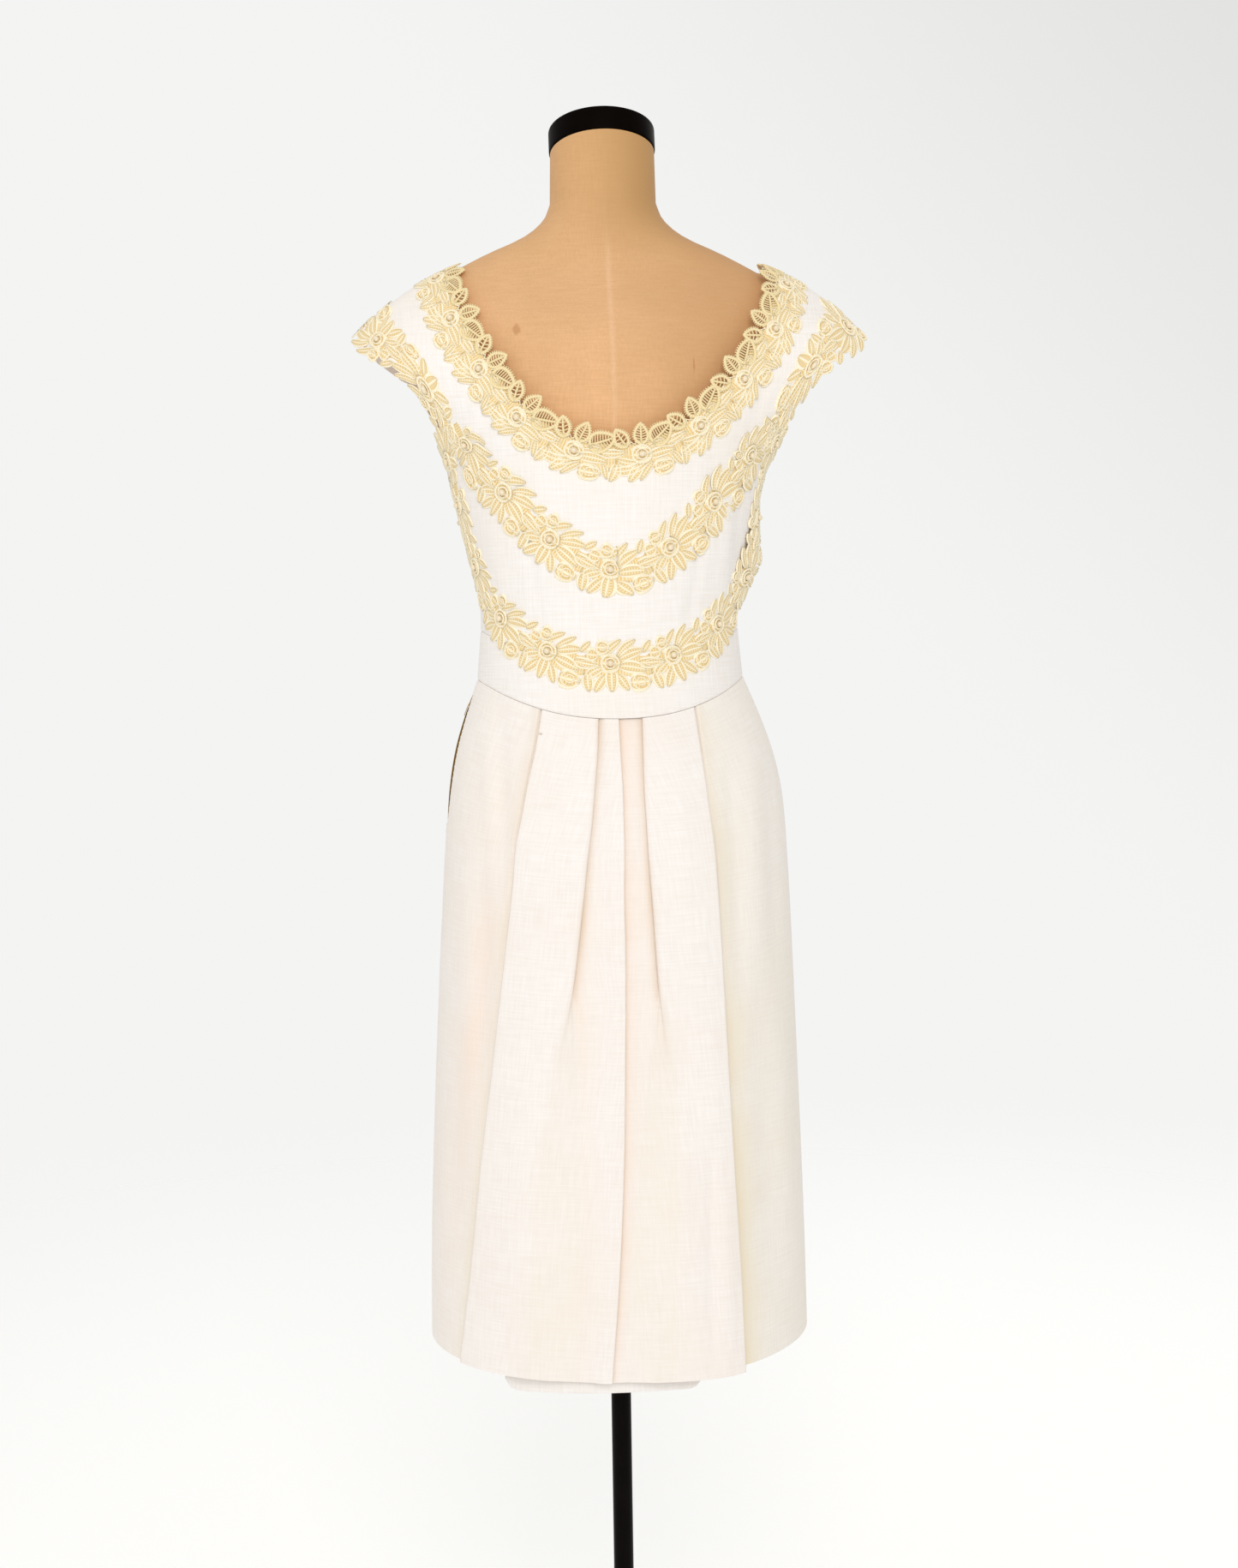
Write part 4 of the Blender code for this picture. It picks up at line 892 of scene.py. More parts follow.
# The underlay's hem is cut straight, so that it hangs lowest at its two lower corners, which are rounded.
UNDERLAY_DROP = 0.0130
UNDERLAY_LEFT_DROP = 0.0070
UNDERLAY_RIGHT_DROP = 0.0030
UNDERLAY_CORNER = 0.010
# At the centre the left half's fold lies over the edge of the right half's.
CENTRE_OVER = 0.001
CENTRE_UNDER = 0.005
CENTRE_RISE = 0.0028
SKIRT_BACK_CREASES = [
    # x_top, z_top, x_low, z_low, width, height
    (0.106, 1.045, 0.1105, 0.905, 0.0075, -0.0022),
    (0.118, 1.02, 0.123, 0.86, 0.0085, 0.0014),
    (0.1245, 0.93, 0.13, 0.7, 0.009, -0.0022),
    (0.14, 0.96, 0.148, 0.64, 0.011, 0.0016),
    (0.148, 0.76, 0.157, 0.52, 0.012, -0.0018),
    (0.047, 1, 0.056, 0.83, 0.012, 0.0008),
    (0.093, 0.72, 0.101, 0.5, 0.014, 0.0015),
    (0.024, 0.69, 0.03, 0.47, 0.012, 0.0014),
    (-0.049, 1.01, -0.052, 0.86, 0.011, 0.0008),
    (-0.096, 0.99, -0.105, 0.78, 0.0085, -0.002),
    (-0.118, 1.01, -0.123, 0.83, 0.01, 0.0016),
    (-0.138, 0.985, -0.143, 0.8, 0.009, -0.0018),
    (-0.124, 0.78, -0.133, 0.52, 0.013, -0.002),
    (-0.15, 0.74, -0.156, 0.5, 0.011, 0.0016),
    (-0.073, 0.65, -0.072, 0.455, 0.006, -0.0022),
    (-0.088, 0.62, -0.09, 0.47, 0.007, 0.0012),
    (-0.048, 0.7, -0.05, 0.5, 0.009, 0.0014),
]
SKIRT_FRONT_CREASES = [
    # x_top, z_top, x_low, z_low, width, height
    (0.03, 1.015, 0.036, 0.86, 0.01, -0.0018),
    (-0.042, 1.02, -0.052, 0.82, 0.011, -0.002),
    (0.074, 1, 0.082, 0.7, 0.012, 0.0018),
    (-0.086, 0.96, -0.098, 0.64, 0.013, 0.002),
    (0.113, 0.98, 0.124, 0.72, 0.01, -0.0022),
    (-0.12, 1, -0.13, 0.76, 0.01, -0.002),
    (0.01, 0.8, 0.016, 0.52, 0.016, 0.0022),
    (-0.034, 0.74, -0.044, 0.47, 0.013, -0.0018),
    (0.062, 0.68, 0.07, 0.47, 0.012, -0.002),
    (0.14, 0.7, 0.148, 0.48, 0.012, 0.0016),
    (-0.14, 0.72, -0.15, 0.5, 0.012, 0.0018),
]

skirt_drops = [-row[0] for row in SKIRT_LEVELS]
fall = -seam_places(SKIRT_LEVELS[0][0], SKIRT_LEVELS[-1][0], 96, 0.0009)
skirt_rows = between(skirt_drops, SKIRT_LEVELS, fall)


def skirt_ring(facing, row, angle):
    """Places and level outward directions round the skirt's inner face at one row."""
    side_z, dip, half_width, back, front = row
    depth = back if facing > 0 else front
    z = side_z - dip * (1 - np.abs(np.sin(angle)) ** SEAM_RISE)
    points = np.stack([half_width * np.sin(angle), facing * depth * np.cos(angle), z], axis=-1)
    outs = np.stack([np.sin(angle) / half_width, facing * np.cos(angle) / depth, 0 * angle], axis=-1)
    return points, outs / np.linalg.norm(outs, axis=-1, keepdims=True)


def parted(z, power=0.4):
    """How far the zip has pushed through the seam at a height, from 0 to 1."""
    share = np.clip((z - PLACKET_BOTTOM) / (PLACKET_TOP - PLACKET_BOTTOM), 0, 1)
    return np.sin(pi * share) ** power


def placket(z):
    """How far each side of the left seam stands back at the placket."""
    return PLACKET_OPEN * parted(z, 0.5)


def eased(share):
    """A share from 0 to 1 that leaves and arrives level."""
    share = np.clip(share, 0, 1)
    return share**2 * (3 - 2 * share)


def near(distance, reach):
    """1 at a place and nothing well beyond reach of it."""
    return np.exp(-((distance / reach) ** 2))


def pleats_at(row):
    """A row's share of the way down, and the centre pleat's pitch and depth there."""
    share = (SKIRT_LEVELS[0][0] - row[0]) / (SKIRT_LEVELS[0][0] - SKIRT_LEVELS[-1][0])
    pitch = PLEAT_PITCH_TOP + (PLEAT_PITCH_HEM - PLEAT_PITCH_TOP) * share
    return share, pitch, -2 * pitch * (1 - 0.6 * share)


def pleat_section(pleat, row, side_end, hand):
    """One half of the skirt's back at one row, as (x, outward, blush, straw, tan) places. The last three are
    shares of painted shade.
    """
    outer_fold, tuck, tuck_depth, centre, lift, underlay_edge = pleat
    # The folds keep their places while the sides swing.
    held = hand * swing_at(row[0] - row[1])
    outer_fold, tuck, centre, underlay_edge = (x + held for x in (outer_fold, tuck, centre, underlay_edge))
    centre -= CENTRE_OVER if hand > 0 else CENTRE_UNDER
    share, pitch, low = pleats_at(row)
    fold_pitch = FOLD_PITCH_TOP + (FOLD_PITCH_HEM - FOLD_PITCH_TOP) * share
    under = lift - 2 * fold_pitch
    inner_edge = outer_fold - FOLD_UNDER
    half_width = row[2]
    rise = CENTRE_RISE if hand > 0 else 0.0
    opened = np.clip(-tuck_depth / 0.014, 0, 1) ** 0.6
    rim, foot = tuck + 0.012 * opened, tuck + tuck_depth - 0.011 * opened

    # The painted shade in blush, straw and tan: by the outer fold, in the recess, and on the hidden layers.
    def side_fold_shade(x):
        by_fold = near(x - outer_fold - 0.003, 0.0055)
        if hand > 0:
            tone = 0.08 + 0.4 * near(share - 0.5, 0.3) * near(x - outer_fold - 0.020, 0.013)
            return (tone, 0.1 + 0.35 * share * by_fold), 0.20 * (1 - share) * by_fold
        wide = near(x - outer_fold - 0.004, 0.016)
        return (0.02, 0.16 + 0.12 * share + (0.2 + 0.5 * share) * wide), 0.14 * by_fold

    def recess_fold_shade(x):
        shut_tuck = (1 - opened) * near(x - tuck, 0.0045)
        if hand > 0:
            beside = (1 - 0.6 * opened) * near(x - foot, 0.014)
            return (0.08 + 0.35 * beside, 0.15 * beside), 0.4 * shut_tuck
        fold_edge = centre + CENTRE_UNDER - 0.003
        blush = 0.24 - 0.14 * share + 0.35 * near(x - fold_edge, 0.012)
        return (blush, 0.05), 0.4 * shut_tuck + 0.4 * near(x - fold_edge, 0.0040)

    def fold_shaded(x, outward_by, tone):
        (blush, straw), tan_share = tone
        return (x, outward_by, blush, straw, tan_share)

    start = np.arcsin(side_end / half_width)
    stop = np.arcsin(min((outer_fold + 0.012) / half_width, 0.97))
    side = [half_width * np.sin(a) for a in np.linspace(start, stop, 22)]
    side += [outer_fold + (side[-1] - outer_fold) * t for t in (0.75, 0.5, 0.3)]
    hidden_fold_shade = ((0.2, 0.2), 0.45)
    panel = []
    for t in np.linspace(0, 1, 19)[1:-1]:
        x = outer_fold + (rim - outer_fold) * t
        high = lift * np.interp(t, (0, 0.25, 0.5, 0.75, 1), (1, 1, 0.85, 0.6, 0.4))
        panel.append(fold_shaded(x, high, ((0.05 + 0.04 * share, 0.06 * opened * near(x - rim, 0.012)), 0)))
    top = lift * 0.4
    slope = []
    for shut_x, shut_z, open_t in ((0, top, 0), (0, low / 2, 0.36), (1, low / 2, 0.64), (1, low, 1)):
        x = (tuck + tuck_depth * shut_x) * (1 - opened) + (rim + (foot - rim) * open_t) * opened
        z = shut_z * (1 - opened) + (top + (low - top) * eased(open_t)) * opened
        slope.append(fold_shaded(x, z, ((0.10, 0.15 * opened), 0.2 * (1 - opened))))
    recess = []
    for t in np.linspace(0, 1, 18)[1:-1]:
        x = foot + (centre - foot) * t
        recess.append(fold_shaded(x, low + rise * eased(1 - (x - centre - 0.006) / 0.014), recess_fold_shade(x)))
    back_layer = low - pitch
    turned_back = low + rise - 0.00135 if hand > 0 else back_layer
    behind = []
    for t in np.linspace(0, 1, 16)[1:-1]:
        x = centre + (underlay_edge - centre) * t
        down = eased((x - centre - 0.0055) / 0.0125)
        behind.append(fold_shaded(x, turned_back + (back_layer - turned_back) * down, hidden_fold_shade))
    return [
        *[fold_shaded(x, 0.0, side_fold_shade(x)) for x in side],
        fold_shaded(min(outer_fold + 0.002, side[-1] - 0.001), under, side_fold_shade(outer_fold)),
        fold_shaded(inner_edge, under, hidden_fold_shade), fold_shaded(inner_edge, under + fold_pitch, hidden_fold_shade),
        fold_shaded(outer_fold, under + fold_pitch, hidden_fold_shade), fold_shaded(outer_fold, lift, ((0.1, 0.1), 0)), *panel,
        *slope, *recess, fold_shaded(centre, low + rise, recess_fold_shade(centre)), fold_shaded(centre, turned_back, hidden_fold_shade),
        *behind, fold_shaded(underlay_edge, back_layer, hidden_fold_shade),
    ]


arc_angles = np.linspace(-pi / 2, pi / 2, 361)
for side, hand, table in (("left", 1, LEFT_PLEAT), ("right", -1, RIGHT_PLEAT)):
    pleats = between(skirt_drops, table, fall)
    grids, uv_grid, fold_shade_grid = ([], []), [], []
    for row, pleat in zip(skirt_rows, pleats):
        ring, _ = skirt_ring(1, row, arc_angles)
        lengths = lengths_along(ring[:, :2], 0)
        lengths -= lengths[180]
        pushed = parted(row[0]) if hand > 0 else 0.0
        open_by = placket(row[0]) + BACK_OPEN * pushed if hand > 0 else 0.0
        side_end = row[2] * cos((HALF_SEAM_GAP + open_by) / SIDE_RADIUS)
        line = np.array(softened(pleat_section(pleat, row, side_end, hand), 0.0010, 3))
        along = np.interp(np.arcsin(np.clip(line[:, 0] / row[2], -1, 1)), arc_angles, lengths)
        # Each place's painted shade goes with it into the mesh.
        fold_shade_grid.append(line[:, 2:])
        line = np.stack([along, line[:, 1] + CLOTH / 2], axis=1)
        ahead = np.concatenate([line[1:2] - line[:1], line[2:] - line[:-2], line[-1:] - line[-2:-1]])
        ahead /= np.maximum(np.linalg.norm(ahead, axis=1, keepdims=True), 1e-9)
        across = np.stack([-ahead[:, 1], ahead[:, 0]], axis=1)
        for grid, sign in zip(grids, (-1, 1)):
            places = line + across * sign * CLOTH / 2
            angle = np.interp(places[:, 0], lengths, arc_angles)
            points, outs = skirt_ring(1, row, angle)
            dip = BACK_DIP * pushed * eased(1 - (lengths[-1] - places[:, :1]) / DIP_REACH)
            points = points + outs * (places[:, 1:] - dip)
            grid.append(creased(points * (hand, 1, 1), outs * (hand, 1, 1), SKIRT_BACK_CREASES))
        uv_grid.append(np.stack([lengths_along(line, 0) * hand, np.full(len(line), row[0])], axis=1))
    outer_grid, inner_grid = slipped(np.array(grids[0])), slipped(np.array(grids[1]))
    outer_grid[0, :, 2] -= SEAM_GAP
    inner_grid[0, :, 2] -= SEAM_GAP
    points, faces = wall(outer_grid, inner_grid)
    uvs = np.array(uv_grid).reshape(-1, 2)
    fold_shades = np.array(fold_shade_grid).reshape(-1, 3)
    made = finished(
        f"Skirt_back_{side}", points, faces, linen, "linen", [f"skirt_back_{side}"],
        np.concatenate([uvs, uvs]), 60, toning=np.concatenate([fold_shades, fold_shades]),
    )

under_left = between(skirt_drops, LEFT_PLEAT, fall)
under_right = between(skirt_drops, RIGHT_PLEAT, fall)
under_rows = []
for row, left, right in zip(skirt_rows, under_left, under_right):
    _, pitch, low = pleats_at(row)
    held = swing_at(row[0] - row[1])
    places = seam_places(held - right[5], held + left[5], 34, 0.005)
    points, outs = skirt_ring(1, row, np.arcsin(places / row[2]))
    points = points + outs * (low - 2 * pitch - SEAM_GAP)
    by_edge = np.clip(np.minimum(places - places[0], places[-1] - places) / UNDERLAY_CORNER, 0, 1)
    side_drop = np.where(places > 0, UNDERLAY_LEFT_DROP / left[5] ** 2, UNDERLAY_RIGHT_DROP / right[5] ** 2)
    drop = (UNDERLAY_DROP + side_drop * places**2) * (1 - 0.55 * (1 - by_edge) ** 2)
    points[:, 2] -= SEAM_GAP + (drop - SEAM_GAP) * np.clip((0.54 - row[0]) / 0.095, 0, 1)
    under_rows.append((points, outs, np.stack([places, np.full(len(places), row[0])], axis=1)))
under = [np.array(grid) for grid in zip(*under_rows)]
cloth("Skirt_underlay", under)

front_rows = []
for row in skirt_rows:
    left_end = pi / 2 - (HALF_SEAM_GAP + placket(row[0])) / SIDE_RADIUS
    angles = seam_places(-pi / 2 + 0.00017, left_end, 96, 0.0018)
    points, outs = skirt_ring(-1, row, angles)
    dip = FRONT_DIP * parted(row[0]) * eased(1 - (pi / 2 - angles[:, None]) * row[4] / DIP_REACH)
    uvs = np.stack([angles * FRONT_RADIUS, np.full(len(angles), row[0])], axis=1)
    front_rows.append((points - outs * dip, outs, uvs))
front = [np.array(grid) for grid in zip(*front_rows)]
front[0][0, :, 2] -= SEAM_GAP
cloth("Skirt_front", front, creases=SKIRT_FRONT_CREASES)

# Lace
# Guipure bands of thick embroidered cotton cord, dyed butter yellow, with a small pearl in each rosette.
# They are sewn by hand along the neckline, in two swags round the body and along the sleeve hems.
LACE_REPEAT = 0.058
LACE_TOP_SECTION = SHOULDER_SECTION - 0.03
# How far the flat repeats reach below and above their middle line.
NECK_SPANS = (0.0310, 0.0225)
SWAG_SPANS = (0.0245, 0.0240)
NECK_FREE = 0.0212
NECK_ON = 0.0305
BAND_REACH = 0.0245
BAND_TAPER_START = 6.6
BAND_TAPER_END = 8.3
# The sleeves' lace hangs further below the cloth at the back than at the front.
SLEEVE_FREE = {"back": 0.0092, "front": 0.0010}
SLEEVE_ON_NARROW = {"left": 0.022, "right": 0.026}
SLEEVE_ON_BROAD = {"left": 0.044, "right": 0.058}
SLEEVE_NARROW_SECTION = 9.5
SLEEVE_LACE_START = 6.35
LOWER_SWAG = [(0, 1.0), (0.30, 1.1), (0.56, 1.65), (0.72, 2.3), (0.82, 3.1), (0.875, 4.2), (0.90, 6.1)]
SWAG_PATHS = {
    # (across, section) along the middle of each swag, from the centre line out
    ("back", "upper"): [
        (0, 3.85), (0.15, 4.15), (0.31, 4.7), (0.51, 5.85), (0.65, 6.6), (0.74, 7.4), (0.80, 8.3)
    ],
    ("back", "lower"): LOWER_SWAG,
    ("front", "upper"): [
        (0, 4.35), (0.15, 4.6), (0.31, 5.1), (0.51, 6.0), (0.65, 6.7), (0.74, 7.4), (0.80, 8.3)
    ],
    ("front", "lower"): LOWER_SWAG,
}
# The lower swag's right end has come loose and stands off the side of the bodice.
LOOSE_LIFT = 0.013
LOOSE_FROM_X = 0.108
LOOSE_BLEND_X = 0.012
LOOSE_HEIGHTS = (1.125, 1.175, 1.235)

# Mercerised cotton cord, pale butter, with a dull silk sheen. Its colour carries painted light and shade:
# lighter on the cords and deeper in the hollows.
guipure, tree, shader = material("Butter guipure cord", {
    "Roughness": 0.6, "Specular IOR Level": 0.35, "Sheen Weight": 0.15, "Sheen Roughness": 0.35,
})
thread = add(tree, "ShaderNodeUVMap", {"uv_map": "thread"})
parts = add(tree, "ShaderNodeSeparateXYZ", {"Vector": thread})
spread = add(tree, "ShaderNodeMath", {"operation": "ABSOLUTE", 0: parts.outputs["Y"]})
# Satin threads lie 0.4 mm apart. They are drawn in ribs 2.4 mm apart so that they show.
slant = add(tree, "ShaderNodeMath", {"operation": "MULTIPLY", 0: spread, 1: 2.4})
phase = add(tree, "ShaderNodeMath", {
    "operation": "MULTIPLY_ADD", 0: parts.outputs["X"], 1: 2 * pi / 0.0024, 2: slant,
})
rib = add(tree, "ShaderNodeMath", {"operation": "SINE", 0: phase})
rib_tone = add(tree, "ShaderNodeMapRange", {"Value": rib, "From Min": -1.0})
profile = add(tree, "ShaderNodeValToRGB", {"Fac": spread})
# Between the vein and the rim the satin is pierced by a ladder of holes, drawn as bump and painted shade.
window = add(tree, "ShaderNodeValToRGB", {"Fac": spread})
for ramp, first, last, others in (
    (profile, 0.95, 1.0, ((0.08, 0.9), (0.15, 0.35), (0.23, 0.66), (0.46, 0.62), (0.56, 0.0), (0.66, 0.95))),
    (window, 0.0, 0.6, ((0.16, 0.0), (0.24, 1.0), (0.42, 1.0), (0.50, 0.0), (0.86, 0.0))),
):
    greys = [(place, (level, level, level, 1)) for place, level in others]
    stops(ramp, (first, first, first, 1), (last, last, last, 1), greys)
pierced = add(tree, "ShaderNodeMapRange", {
    "Value": rib_tone, "From Min": 0.35, "From Max": 0.65, "To Max": 0.55,
})
holes = add(tree, "ShaderNodeMath", {"operation": "MULTIPLY", 0: pierced, 1: window})
# The relief sets both the bump and the painted light and shade of the cord's colour.
relief_and_painted_shade = add(tree, "ShaderNodeMath", {"operation": "SUBTRACT", "use_clamp": True, 0: profile, 1: holes})
cord_colour = add(tree, "ShaderNodeMix", {
    "data_type": "RGBA", 0: relief_and_painted_shade, 6: linear("#E5C072"), 7: linear("#FFF6DC"),
})
# The leaves that stand free of the cloth are drawn deeper and more golden: painted shade, with the form's tan
# painted as if it showed through them.
free_leaf_shade = add(tree, "ShaderNodeMapRange", {
    "Value": spread, "From Min": 1.2, "From Max": 1.3, "To Max": 0.45,
})
cord_colour = add(tree, "ShaderNodeMix", {
    "data_type": "RGBA", 0: free_leaf_shade, 6: cord_colour, 7: linear("#E6C873"),
})
bump = add(tree, "ShaderNodeBump", {"Height": relief_and_painted_shade, "Strength": 0.6, "Distance": 0.0006})
fill(shader, {"Base Color": cord_colour, "Normal": bump})

# Small imitation pearls: glass with a coat of pearl lacquer, cream with a soft white gleam.
pearl_lacquer, tree, shader = material("Pearl lacquer", {
    "Roughness": 0.22, "Coat Weight": 0.6, "Coat Roughness": 0.08,
})
mottled(tree, shader, 400.0, 2.0, "#E6CFA6", "#F6EBD6")


class Motif:
    """One repeat of the lace laid flat, in millimetres: along the band, across it, and up from it."""

    def __init__(self, fullness):
        self.points, self.faces, self.threads = [], [], []
        self.fullness = fullness

    def grid(self, rows, threads, ends="capped"):
        """Joins rows of points into a skin."""
        self.faces += tube(len(self.points), len(rows), len(rows[0]), ends)
        for row, thread in zip(rows, threads):
            self.points += row
            self.threads += thread

    def leaf(self, base, tip, width, rise=0.0, bend=0.0, blunt=False, count=11):
        """A filled leaf of satin stitch with a corded rim."""
        base, tip = np.array(base, dtype=float), np.array(tip, dtype=float)
        ahead = tip - base
        long = np.linalg.norm(ahead)
        side = np.array((-ahead[1], ahead[0])) / long
        spans = np.array([-1, -0.80, -0.56, 0, 0.56, 0.80, 1])
        heights = np.array([0.1, 1.25, 0.5, 0.95, 0.5, 1.25, 0.1])
        rows, threads = [], []
        for s in np.linspace(0.0, 1.0, count):
            full = np.sin(pi * min(max(s, 0.015), 0.985) ** (0.62 if blunt else 0.85))
            half = max(self.fullness * width / 2 * full ** (0.45 if blunt else 0.5), 0.12)
            middle = base + ahead * s + side * bend * np.sin(pi * s)
            row = [(*(middle + side * half * t), rise + h) for t, h in zip(spans, heights)]
            row += [(*(middle + side * half), rise - 0.2), (*(middle - side * half), rise - 0.2)]
            rows.append(row)
            threads.append([(s * long / 1000, t) for t in (*spans, 1, -1)])
        self.grid(rows, threads)

    def ground(self, top, bottom, rise):
        """The low ground of close netting that joins the leaves, with a waved edge on both sides."""
        rows, threads = [], []
        for x in np.linspace(0, 1000 * LACE_REPEAT, 21):
            wave = 2 * pi * x / 1000 / LACE_REPEAT
            high, low = top + 1.2 * sin(3 * wave), bottom + 1.6 * sin(2 * wave + 1.0)
            spans = np.linspace(0, 1, 9)
            tall = 1.0 + 0.25 * np.sin(spans * 22 + 2.5 * np.sin(2 * wave))
            row = [(x, low + (high - low) * t, rise + h) for t, h in zip(spans, tall)]
            row[0], row[-1] = (x, low, rise + 0.2), (x, high, rise + 0.2)
            row += [(x, high, rise - 0.2), (x, low, rise - 0.2)]
            rows.append(row)
            threads.append([(x / 1000, 0.55 * abs(sin(9 * t))) for t in (*spans, 1, 0)])
        self.grid(rows, threads)

    def cord(self, line, radius, rise, closed=False, sides=5, tall=1.0, free=0.0):
        """A cord along a line of flat places, round or pressed to a share of its height."""
        line = np.array(line, dtype=float)
        if closed:
            ahead = np.roll(line, -1, axis=0) - np.roll(line, 1, axis=0)
        else:
            ahead = np.gradient(line, axis=0)
        ahead /= np.maximum(np.linalg.norm(ahead, axis=1, keepdims=True), 1e-9)
        side = np.stack([-ahead[:, 1], ahead[:, 0]], axis=1)
        lengths = lengths_along(line, 0) / 1000
        rows, threads = [], []
        turns = [2 * pi * (k + 0.5) / sides for k in range(sides)]
        for middle, across, length in zip(line, side * radius, lengths):
            rows.append([(*(middle - across * cos(a)), rise + radius * tall * sin(a)) for a in turns])
            # The flat map runs lower round a cord's underside, so that the colour ramp paints shade there.
            threads.append([(length, 0.81 + 0.19 * sin(a) + free) for a in turns])
        self.grid(rows, threads, "joined" if closed else "capped")

    def ring(self, centre, radius, thick, rise, count=18, stretch=1.0, lean=0.0):
        """A round or oval ring of cord."""
        line = []
        for a in np.arange(count) * 2 * pi / count:
            x, y = radius * stretch * cos(a), radius * sin(a)
            turned_x, turned_y = x * cos(lean) - y * sin(lean), x * sin(lean) + y * cos(lean)
            line.append((centre[0] + turned_x, centre[1] + turned_y))
        self.cord(line, thick, rise, closed=True)

    def open_leaf(self, base, tip, width, bars, picots=(), blunt=False, rim=1.8):
        """An openwork leaf: a broad satin rim with picots, a vein, and a ladder of bars with holes."""
        base, tip = np.array(base, dtype=float), np.array(tip, dtype=float)
        ahead = tip - base
        ahead_unit = ahead / np.linalg.norm(ahead)
        side = np.array((-ahead_unit[1], ahead_unit[0]))
        base, ahead = base + ahead_unit * rim, ahead - 2 * rim * ahead_unit
        half = width / 2 - rim

        def edge(s, hand):
            full = np.sin(pi * min(max(s, 0.0), 1.0) ** (0.62 if blunt else 0.8))
            return base + ahead * s + side * hand * half * full ** (0.6 if blunt else 0.8)

        places = (1 - np.cos(np.linspace(0, pi, 12))) / 2
        outline = [edge(s, 1) for s in places[:-1]] + [edge(s, -1) for s in places[:0:-1]]
        self.cord(outline, rim, 0.8, closed=True, sides=6, tall=0.5, free=0.7)
        inner = [base + ahead * (0.04 + 0.92 * s) for s in (0, 0.25, 0.5, 0.75, 1)]
        self.cord(inner, 1.1, 0.9, sides=5, tall=0.6, free=0.7)
        for s in np.linspace(0.14, 0.88, bars):
            for hand in (1, -1):
                far = edge(s + 0.04, hand)
                near_end = base + ahead * (s - 0.04)
                self.cord([near_end, (near_end + far) / 2, far], 0.75, 0.7, sides=4, tall=0.6, free=0.7)
        for hand in picots:
            for s in np.linspace(0.10, 0.94, 9):
                root = edge(s, hand)
                out = root - (base + ahead * s)
                out /= max(np.linalg.norm(out), 1e-6)
                line = [root + out * rim * 0.5, root + out * (rim + 1.3)]
                self.cord(line, 0.7, 0.8, sides=4, tall=0.8, free=0.7)

    def made(self, name):
        """The repeat as a mesh object in metres. It isn't part of the dress until it is laid on a band."""
        mesh = meshed(name, np.array(self.points) / 1000, self.faces, "thread", self.threads)
        bm = bmesh.new()
        bm.from_mesh(mesh)
        bmesh.ops.recalc_face_normals(bm, faces=bm.faces)
        bm.to_mesh(mesh)
        bm.free()
        mesh.shade_smooth()
        return bpy.data.objects.new(name, mesh)


def rosette(motif, centre, radius):
    """Two raised rings round a pearl, on a small filled disc."""
    x, y = centre
    motif.leaf((x - radius, y), (x + radius, y), 2 * radius, -0.1, blunt=True, count=8)
    motif.ring(centre, radius - 0.6, 1.1, 1.0, 20)
    motif.ring(centre, radius * 0.55, 0.85, 1.3, 14)


# The neckline's repeat: openwork leaves stand free above the cloth's edge and satin leaves lie below.
NECK_ROSETTE = (22, -7.5)
motif = Motif(1)
motif.ground(4, -20, -0.8)
motif.open_leaf((23, 0), (27.5, 21), 16.5, 7, picots=(1, -1), rim=1.5)
motif.open_leaf((32.5, 0.5), (58, 10), 21, 8, picots=(1,), blunt=True, rim=1.7)
motif.open_leaf((10.5, -0.5), (-1.5, 17.5), 15.5, 5, picots=(1, -1), rim=1.5)
motif.cord([(11, 1), (14, 4.6), (17, 2), (20, 4.8), (23, 1)], 0.7, 0.6, sides=4)
motif.cord([(30, 1), (32, 4.4), (35, 2), (39, 2.6), (43, 1)], 0.7, 0.6, sides=4)
motif.cord([(52, 1.6), (55, 4.6), (58, 2), (60, 4.6), (63, 1.5)], 0.7, 0.6, sides=4)
motif.leaf((45.5, -5.5), (66.5, -4.5), 9.5, 0.15, blunt=True)
motif.ring((56, -5), 3, 0.5, 1.3, 14, 2.2, 0.05)
motif.leaf((28, -4), (47, -3), 7, 0, bend=1)
motif.leaf((27, -10.5), (50.5, -12.5), 10.5, 0.1, bend=1.5)
motif.leaf((1, -11), (17, -14.5), 9, 0, bend=-1.5)
motif.leaf((23, -16), (-5.5, -20.5), 10.5, 0.1, bend=2.5)
motif.leaf((18, -18.5), (9, -31), 11, 0, blunt=True)
motif.leaf((29.5, -16.5), (17.5, -30.5), 7, 0.3, bend=-1)
motif.leaf((29, -23.5), (46, -23.5), 16, -0.1, blunt=True, count=9)
motif.ring((37.5, -23), 7.2, 0.75, 0.9, 18)
motif.ring((37.5, -23), 3.8, 0.65, 1.2, 12)
motif.leaf((58.5, -14), (53.5, -30), 9.5, 0, bend=1)
motif.leaf((47, -14.5), (51, -28), 7, 0.2)
rosette(motif, NECK_ROSETTE, 8.6)
neck_object = motif.made("Neck_repeat")

